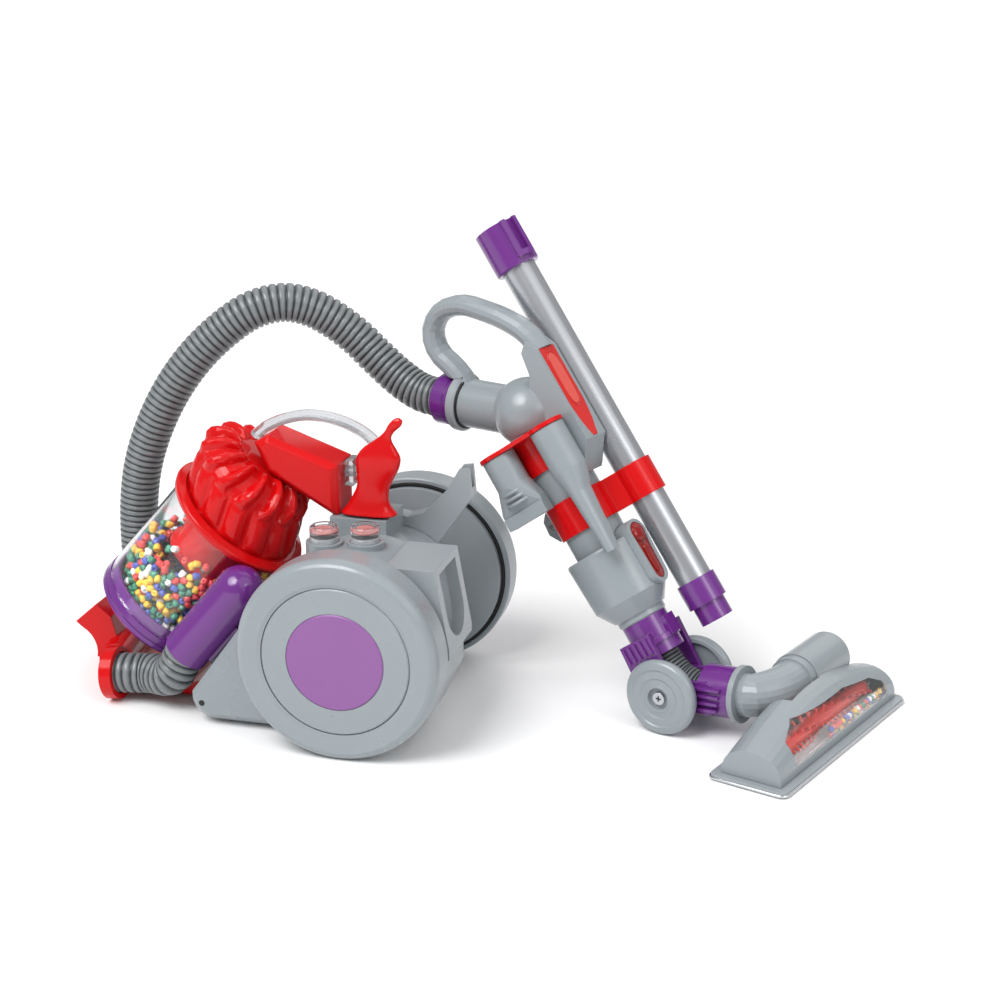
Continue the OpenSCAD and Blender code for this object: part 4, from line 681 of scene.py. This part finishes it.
# %% Beads in the bin
BIN_BEAD, BEAD_ROOM = 5.2, 5.6  # a bead's size, and the length of its place on a ring
BIN_INSIDE, BIN_FLOOR, BIN_FULL, FIRST_LAYER, LAYER_RISE = 46.5, -99, -14, 3.5, 4.7
RING_INSETS = (3.6, 8.9, 14.2)  # from the bin's wall to the middle of each ring of beads
SHROUD_OUT, SHROUD_FOOT = 33 + 3.5, -45 - 4  # with room for a bead
FOOT_HIGH, FOOT_INSIDE = 24, 41  # the bin is narrower in its foot
HEAP_TOP, HEAP_SLOPE, HEAP_SPREAD, HEAP_SHARE = 101, 0.3, 9, 0.88
spots = []
for layer, a in enumerate(np.arange(BIN_FLOOR + FIRST_LAYER, BIN_FULL, LAYER_RISE)):
    for inset in RING_INSETS:
        radius = BIN_INSIDE - inset
        if a > SHROUD_FOOT and radius < SHROUD_OUT:
            continue
        if a < BIN_FLOOR + FOOT_HIGH and radius > FOOT_INSIDE:
            continue
        count = int(2 * math.pi * radius / BEAD_ROOM)
        for k in range(count):
            angle = 2 * math.pi * (k + 0.5 * (layer % 2) + dice.uniform(-0.2, 0.2)) / count
            spot = Vector((radius * math.cos(angle), radius * math.sin(angle), a + dice.uniform(-0.5, 0.5)))
            top = HEAP_TOP - HEAP_SLOPE * spot.x + dice.uniform(-HEAP_SPREAD, HEAP_SPREAD)
            if (BIN @ spot).z / MM < top and dice.uniform(0, 1) < HEAP_SHARE:
                spots.append(spot)
bin_beads = beads("loose_bin_beads", spots, BIN, "canister", BIN_BEAD, BIN_BEAD)
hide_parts("bin_beads")
dress("bin_beads", bead_finish)
print(len(spots), "beads in the bin")

# %% Beads in the head
HEAD_BEAD, ROW_START, ROW_END, ROW_STEP, ROW_BEADS, ROW_SHARE = 4.0, 22, 104, 3.4, 24, 0.9
ROW_X, BEAD_REST, LEVEL_RISE = (104.5, 108.5), 6.8, 4.0
spots = []
for row, x in enumerate(ROW_X):
    for k in range(ROW_BEADS):
        y = ROW_START + ROW_STEP * k + dice.uniform(-0.6, 0.6)
        for level in range(2 - row):
            if y < ROW_END and dice.uniform(0, 1) < ROW_SHARE:
                beside = x + dice.uniform(-0.4, 0.4)
                spots.append((beside, y, BEAD_REST + LEVEL_RISE * level + dice.uniform(0, 0.5)))
head_beads = beads("loose_head_beads", spots, HEAD, "head", HEAD_BEAD, HEAD_BEAD)
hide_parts("head_beads")
dress("head_beads", bead_finish)
print(len(spots), "beads in the head")

# %% [markdown]
# Small fittings finish the toy: black rings that paint the shade in the gaps round the wheels, pink discs
# under the clear buttons, a bright strip round the sole, screws in the hubs and a raised oval on the trigger.
# Most are round, so a profile is spun about an axis; a strip is a small circle swept along a closed path.
# Ready-made cylinders would be quicker, but they would have no chamfers to catch the light.


# %% Spun and swept pieces
def spun(name, profile, place, body, finish, around=64):
    """A closed profile of radius and height, spun about the frame's Z axis."""
    n, verts, faces = len(profile), [], []
    for k in range(around):
        c, d = math.cos(2 * math.pi * k / around), math.sin(2 * math.pi * k / around)
        verts += [(r * c, r * d, z) for r, z in profile]
        ahead = (k + 1) % around
        faces += [(k * n + i, ahead * n + i, ahead * n + (i + 1) % n, k * n + (i + 1) % n) for i in range(n)]
    return piece(name, verts, faces, place, body, finish, sharp=35)


def swept(name, path, radius, place, body, finish, around=8):
    """A small round section along a closed path."""
    p = np.array(path, float)
    m, verts, faces = len(p), [], []
    ahead = np.roll(p, -1, axis=0) - np.roll(p, 1, axis=0)
    ahead /= np.linalg.norm(ahead, axis=1)[:, None]
    normal = np.cross(ahead[0], ahead[m // 4])
    normal /= np.linalg.norm(normal)
    for i in range(m):
        side = np.cross(ahead[i], normal)
        for t in (2 * math.pi * k / around for k in range(around)):
            verts.append(p[i] + radius * (side * math.cos(t) + normal * math.sin(t)))
        faces += band(i * around, (i + 1) % m * around, around)
    return piece(name, verts, faces, place, body, finish)


print("spun and swept pieces ready")

# %% Plates and their outlines
CHAMFER = 0.8  # at most


def plate(name, outline, thick, place, body, finish):
    """A flat outline with a chamfered edge, standing on the frame's XY plane."""
    o = np.array(outline, float)
    middle, m = o.mean(axis=0), len(o)
    edge = min(0.4 * thick, CHAMFER)
    inner = middle + (o - middle) * (1 - edge / np.linalg.norm(o - middle, axis=1)[:, None])
    levels = ((o, 0), (o, thick - edge), (inner, thick))
    verts = [(x, y, z) for ring, z in levels for x, y in ring]
    faces = [tuple(range(m))[::-1], tuple(range(2 * m, 3 * m))] + band(0, m, m) + band(m, 2 * m, m)
    return piece(name, verts, faces, place, body, finish, sharp=30)


def rounded_rectangle(x0, y0, x1, y1, r, per=6):
    """Corner arcs of a rectangle, anticlockwise."""
    corners = [(x1 - r, y1 - r, 0), (x0 + r, y1 - r, 90), (x0 + r, y0 + r, 180), (x1 - r, y0 + r, 270)]
    return [(x + r * math.cos(math.radians(a + 90 * k / per)), y + r * math.sin(math.radians(a + 90 * k / per)))
            for x, y, a in corners for k in range(per + 1)]


def oval(half_wide, half_tall, count=48, power=0.7):
    """A rounded oblong, anticlockwise."""
    return [(math.copysign(half_wide * abs(math.cos(t)) ** power, math.cos(t)),
             math.copysign(half_tall * abs(math.sin(t)) ** power, math.sin(t)))
            for t in np.linspace(0.02, 2 * math.pi + 0.02, count, endpoint=False)]


print("an oval has", len(oval(1, 1)), "points")

# %% Black rings of painted shade in the gaps of the large wheels
SIDES = (("near", -1), ("far", 1))
WHEEL_INSIDE, SIDE_DISC_R, RIM_IN = 81, 64.5, 67.5
# The ring fills the gap between the side disc and the rim, where there is only shade.
GAP_SHADE = [(SIDE_DISC_R + 0.2, -0.6), (RIM_IN - 0.6, -0.6), (RIM_IN - 0.2, 0.2), (RIM_IN - 0.2, 1.5),
        (SIDE_DISC_R + 0.2, 1.5)]
for name, side in SIDES:
    wheel = CANISTER @ moved(0, side * WHEEL_INSIDE, AXLE_Z) @ turned(-side * QUARTER, "X")
    spun("wheel_gap_shade_" + name, GAP_SHADE, wheel, "canister", black_trim_and_shade, 96)
print("gap_shade_rings made")

# %% Inside the buttons, the screw hole and the handle's clip
BUTTONS, BUTTON_Y = (("power", -27, 62.5), ("rewind", 2.5, 65)), -45  # place along X and rise over the axle
BUTTON_DISC = [(0.15, 6.2), (6.4, 6.2), (6.8, 6.6), (6.8, 7.6), (6.4, 8), (0.15, 8)]
BUTTON_SLEEVE = [(6.2, -3.4), (9.2, -3.4), (9.2, 2.6), (8.8, 3.2), (6.6, 3.2), (6.2, 2.6)]
for name, x, rise in BUTTONS:
    button = CANISTER @ moved(x, BUTTON_Y, AXLE_Z + rise)
    spun(name + "_disc", BUTTON_DISC, button, name, button_pink)
    spun(name + "_sleeve", BUTTON_SLEEVE, button, name, pale_gray)

# A flat black disc stands for the screw hole: its darkness is painted shade.
HOLE_AT, HOLE = (-110, -75, 16.5), [(0.15, -0.6), (2.2, -0.6), (2.2, 0.04), (2, 0.08), (0.15, 0.08)]
spun("screw_hole", HOLE, CANISTER @ moved(*HOLE_AT) @ turned(QUARTER, "X"), "canister",
     black_trim_and_shade, 24)

CLIP_FAR, CLIP_THICK, CLIP_BOX, CLIP_CORNER = 13, 14, (-27, 88, -20.2, 107), 1.6
clip = CANISTER @ moved(0, CLIP_FAR, AXLE_Z) @ turned(QUARTER, "X")
plate("handle_clip", rounded_rectangle(*CLIP_BOX, CLIP_CORNER), CLIP_THICK, clip, "canister",
      smoky_clear)
print("canister fittings made")

# %% [markdown]
# The release lever is a curled leaf on a flared foot, moulded in one glossy piece. A box with bevels would
# stay stiff and a sculpted mesh can't be repeated, so rows of height, offset, half length and half depth are
# joined by the same smooth curve as the hoses, with an oval ring at each step.

# %% Release lever
LEVER_AT, PEDESTAL_RISE = (-4, -10), 71
LEVER_AROUND, FRONT_FLAT, LEVER_STEPS = 48, 0.3, 5
LEVER_NECK = [(-1.4, 0, 3, 4.6), (1.6, 0, 3, 4.6)]
LEVER_ROWS = [(2, -2.2, 20, 13), (3.2, -2.2, 19.6, 12.6), (5.5, -2.2, 17.4, 11.2), (9, -1.8, 15, 9.8),
              (14, -1, 13, 8.6), (21, 1, 11.8, 7.6), (28, 2.8, 13.2, 7.6), (36, 4.5, 15.4, 7.8),
              (43, 5.5, 15.6, 7.2), (49, 6.3, 12, 5.8), (54, 8.2, 7.2, 4.4), (58, 10.6, 4.2, 3.4),
              (62, 13.7, 3.5, 3), (66, 17, 4.6, 3.6), (69.5, 19, 3.8, 3.3), (71.6, 19.6, 1.4, 1.4)]
verts, faces = [], []
for z, x, half_long, half_deep in LEVER_NECK + list(smooth_line(LEVER_ROWS, LEVER_STEPS)):
    for k in range(LEVER_AROUND):
        c, d = math.cos(2 * math.pi * k / LEVER_AROUND), math.sin(2 * math.pi * k / LEVER_AROUND)
        verts.append((x + half_long * c, half_deep * d * (1 - FRONT_FLAT * max(0, -d) ** 2), z))
for start in range(0, len(verts) - LEVER_AROUND, LEVER_AROUND):
    faces += band(start, start + LEVER_AROUND, LEVER_AROUND)
faces += [tuple(range(LEVER_AROUND))[::-1], tuple(range(len(verts) - LEVER_AROUND, len(verts)))]
lever_place = CANISTER @ moved(*LEVER_AT, AXLE_Z + PEDESTAL_RISE)
lever_leaf = piece("lever_leaf", verts, faces, lever_place, "lever", red, sharp=50)
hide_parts("release_lever")
print("lever of", len(faces), "faces")

# %% [markdown]
# The wand carries a black seal at the mouth of its handle, a raised oval on the trigger, and a lens and a bar
# on the catch. They could be painted on, but a raised edge catches the light, so each is a thin piece of its
# own that rides on the body that carries it.

# %% Fittings of the wand
HANDLE_MOUTH, TRIGGER_FACE = (-180, 0, 203), (42, 0, 225)
CATCH_FACE, LENS_FOOT = (31.5, 0, 87), (33, 0, 107)
SEAL_RING = [(17.6, 0.1), (18.7, 0.2), (19, 0.8), (18.7, 1.4), (17.6, 1.5)]
LENS = [(0.15, -0.4), (6.2, -0.4), (6.4, 0.1), (5.6, 0.9), (4.2, 1.5), (2.4, 1.9), (0.15, 2)]
PAD, PAD_THICK, LINE, LINE_RISE, LINE_R = (5.2, 20), 0.5, (6.3, 21.4), 0.1, 0.45
BAR, BAR_ROUND, BAR_THICK = (3.2, 11), 0.85, 0.9
# A front face looks along the wand's X axis, with its height along the wand.
FRONT = Matrix(((0, 0, 1, 0), (1, 0, 0, 0), (0, 1, 0, 0), (0, 0, 0, 1)))
trigger_face, catch_face = WAND @ moved(*TRIGGER_FACE) @ FRONT, WAND @ moved(*CATCH_FACE) @ FRONT
spun("handle_seal", SEAL_RING, HEAD @ moved(*HANDLE_MOUTH) @ turned(QUARTER, "Y"), "wand",
     black_trim_and_shade)
plate("trigger_pad", oval(*PAD), PAD_THICK, trigger_face, "trigger", pad_red)
swept("trigger_line", [(x, y, LINE_RISE) for x, y in oval(*LINE)], LINE_R, trigger_face, "trigger",
      tinted_red)
plate("catch_bar", oval(*BAR, power=BAR_ROUND), BAR_THICK, catch_face, "catch",
      deep_tinted_red)
spun("catch_lens", LENS, WAND @ moved(*LENS_FOOT) @ turned(QUARTER, "Y"), "catch",
     deep_tinted_red, 48)
print("wand fittings made")

# %% [markdown]
# The head has a bright strip round its sole, a rounded cap on its barrel and, in each hub's screw, a black
# cross that paints the shade of its recess. The cap could be left flat like the solid's end, but its curve is
# part of the barrel's outline, so it is spun.

# %% Fittings of the head
SOLE_LOW, SOLE_HIGH, SOLE_OUT, SOLE_CORNER = (62, -72), (118, 118), 0.3, 5.3
STRIP_RISE, STRIP_R = 1.7, 1.0
sole = rounded_rectangle(SOLE_LOW[0] - SOLE_OUT, SOLE_LOW[1] - SOLE_OUT, SOLE_HIGH[0] + SOLE_OUT,
                         SOLE_HIGH[1] + SOLE_OUT, SOLE_CORNER)
swept("sole_strip", [(x, y, STRIP_RISE) for x, y in sole], STRIP_R, HEAD, "head", chrome)

BARREL_END = (70, 87.3, 35.5)
BARREL_CAP = [(0.15, -1), (17.3, -1), (17.5, 0), (16.9, 1.8), (15.4, 3.6), (12.5, 5.4), (8, 6.6), (3, 7.1),
              (0.15, 7.2)]
spun("barrel_cap", BARREL_CAP, HEAD @ moved(*BARREL_END) @ turned(-QUARTER, "X"), "head",
     silver_gray)

# Each black cross is painted shade in the recess of a hub's screw.
HUB_FACE, CROSS_DEEP = 31.3, 0.2
CROSS = [(0.5, 0.5), (0.5, 2), (-0.5, 2), (-0.5, 0.5), (-2, 0.5), (-2, -0.5), (-0.5, -0.5), (-0.5, -2),
         (0.5, -2), (0.5, -0.5), (2, -0.5), (2, 0.5)]
for name, side in SIDES:
    hub = HEAD @ moved(0, side * HUB_FACE, PIVOT_Z) @ turned(-side * QUARTER, "X")
    plate("hub_cross_" + name, CROSS, CROSS_DEEP, hub, "wand", black_trim_and_shade)
print("head fittings made")

# %% [markdown]
# The studio is a pale floor that runs out of the picture under an even sky. A picture of a studio could light
# it, but a few lamps are easier to steer: three broad suns, the strongest from the left, leave soft shadows,
# and two square lamps leave the square highlights that the photograph shows on the handle and the wheels.

# %% Floor and sky
FLOOR_HALF, FLOOR_DROP, FLOOR_GLOSS, SKY = 300, 0.0003, 0.2, 0.42
FLOOR_CORNERS = ((-1, -1), (1, -1), (1, 1), (-1, 1))
floor_mesh = bpy.data.meshes.new("studio_floor")
floor_mesh.from_pydata([(x * FLOOR_HALF, y * FLOOR_HALF, 0) for x, y in FLOOR_CORNERS], [], [(0, 1, 2, 3)])
floor = bpy.data.objects.new("studio_floor", floor_mesh)
floor.location.z = -FLOOR_DROP
scene.collection.objects.link(floor)
floor_paint, tree, skin = bare_material("studio_paper")
surface = placed(tree, grain_group, Colour=(0.93, 0.93, 0.935, 1), Shade=(0.9, 0.9, 0.905, 1), Grain=300.0,
                 Mottle=0.3, Rough=0.75, Rough_Spread=0.1)
feed(tree, skin, surface.outputs["Colour"], surface.outputs["Roughness"])
skin.inputs["Specular IOR Level"].default_value = FLOOR_GLOSS
floor.data.materials.append(floor_paint)

world = bpy.data.worlds.new("studio_sky")
scene.world = world
world.use_nodes = True
world.node_tree.nodes["Background"].inputs["Color"].default_value = (1, 1, 1, 1)
world.node_tree.nodes["Background"].inputs["Strength"].default_value = SKY
scene.view_settings.view_transform = "Standard"
print("floor and sky made")


# %% Suns and lamps
def light(name, kind, power):
    data = bpy.data.lights.new(name, kind)
    data.energy = power
    made = bpy.data.objects.new(name, data)
    scene.collection.objects.link(made)
    return made


def sun(name, turn, height, power, spread):
    """A broad distant lamp at a turn from the front and a height, both in degrees."""
    made = light(name, "SUN", power)
    made.data.angle = math.radians(spread)
    t, h = math.radians(turn), math.radians(height)
    towards = Vector((math.sin(t) * math.cos(h), -math.cos(t) * math.cos(h), math.sin(h)))
    made.rotation_euler = (-towards).to_track_quat("-Z", "Y").to_euler()


def lamp(name, place, aim, size, power):
    """A square lamp at a place, aimed at another."""
    made = light(name, "AREA", power)
    made.data.shape = "SQUARE"
    made.data.size = size
    made.location = place
    made.rotation_euler = (Vector(aim) - Vector(place)).to_track_quat("-Z", "Y").to_euler()


sun("left_light", -35, 52, 1.9, 40)
sun("right_light", 60, 45, 0.6, 60)
sun("back_light", 170, 50, 0.6, 60)
lamp("square_lamp", (-0.5, -1.3, 1.8), (0, 0, 0.1), 0.9, 12)
lamp("side_lamp", (1.6, -1.0, 1.2), (0.1, 0, 0.1), 0.7, 5)
print(len(bpy.data.lights), "lights")
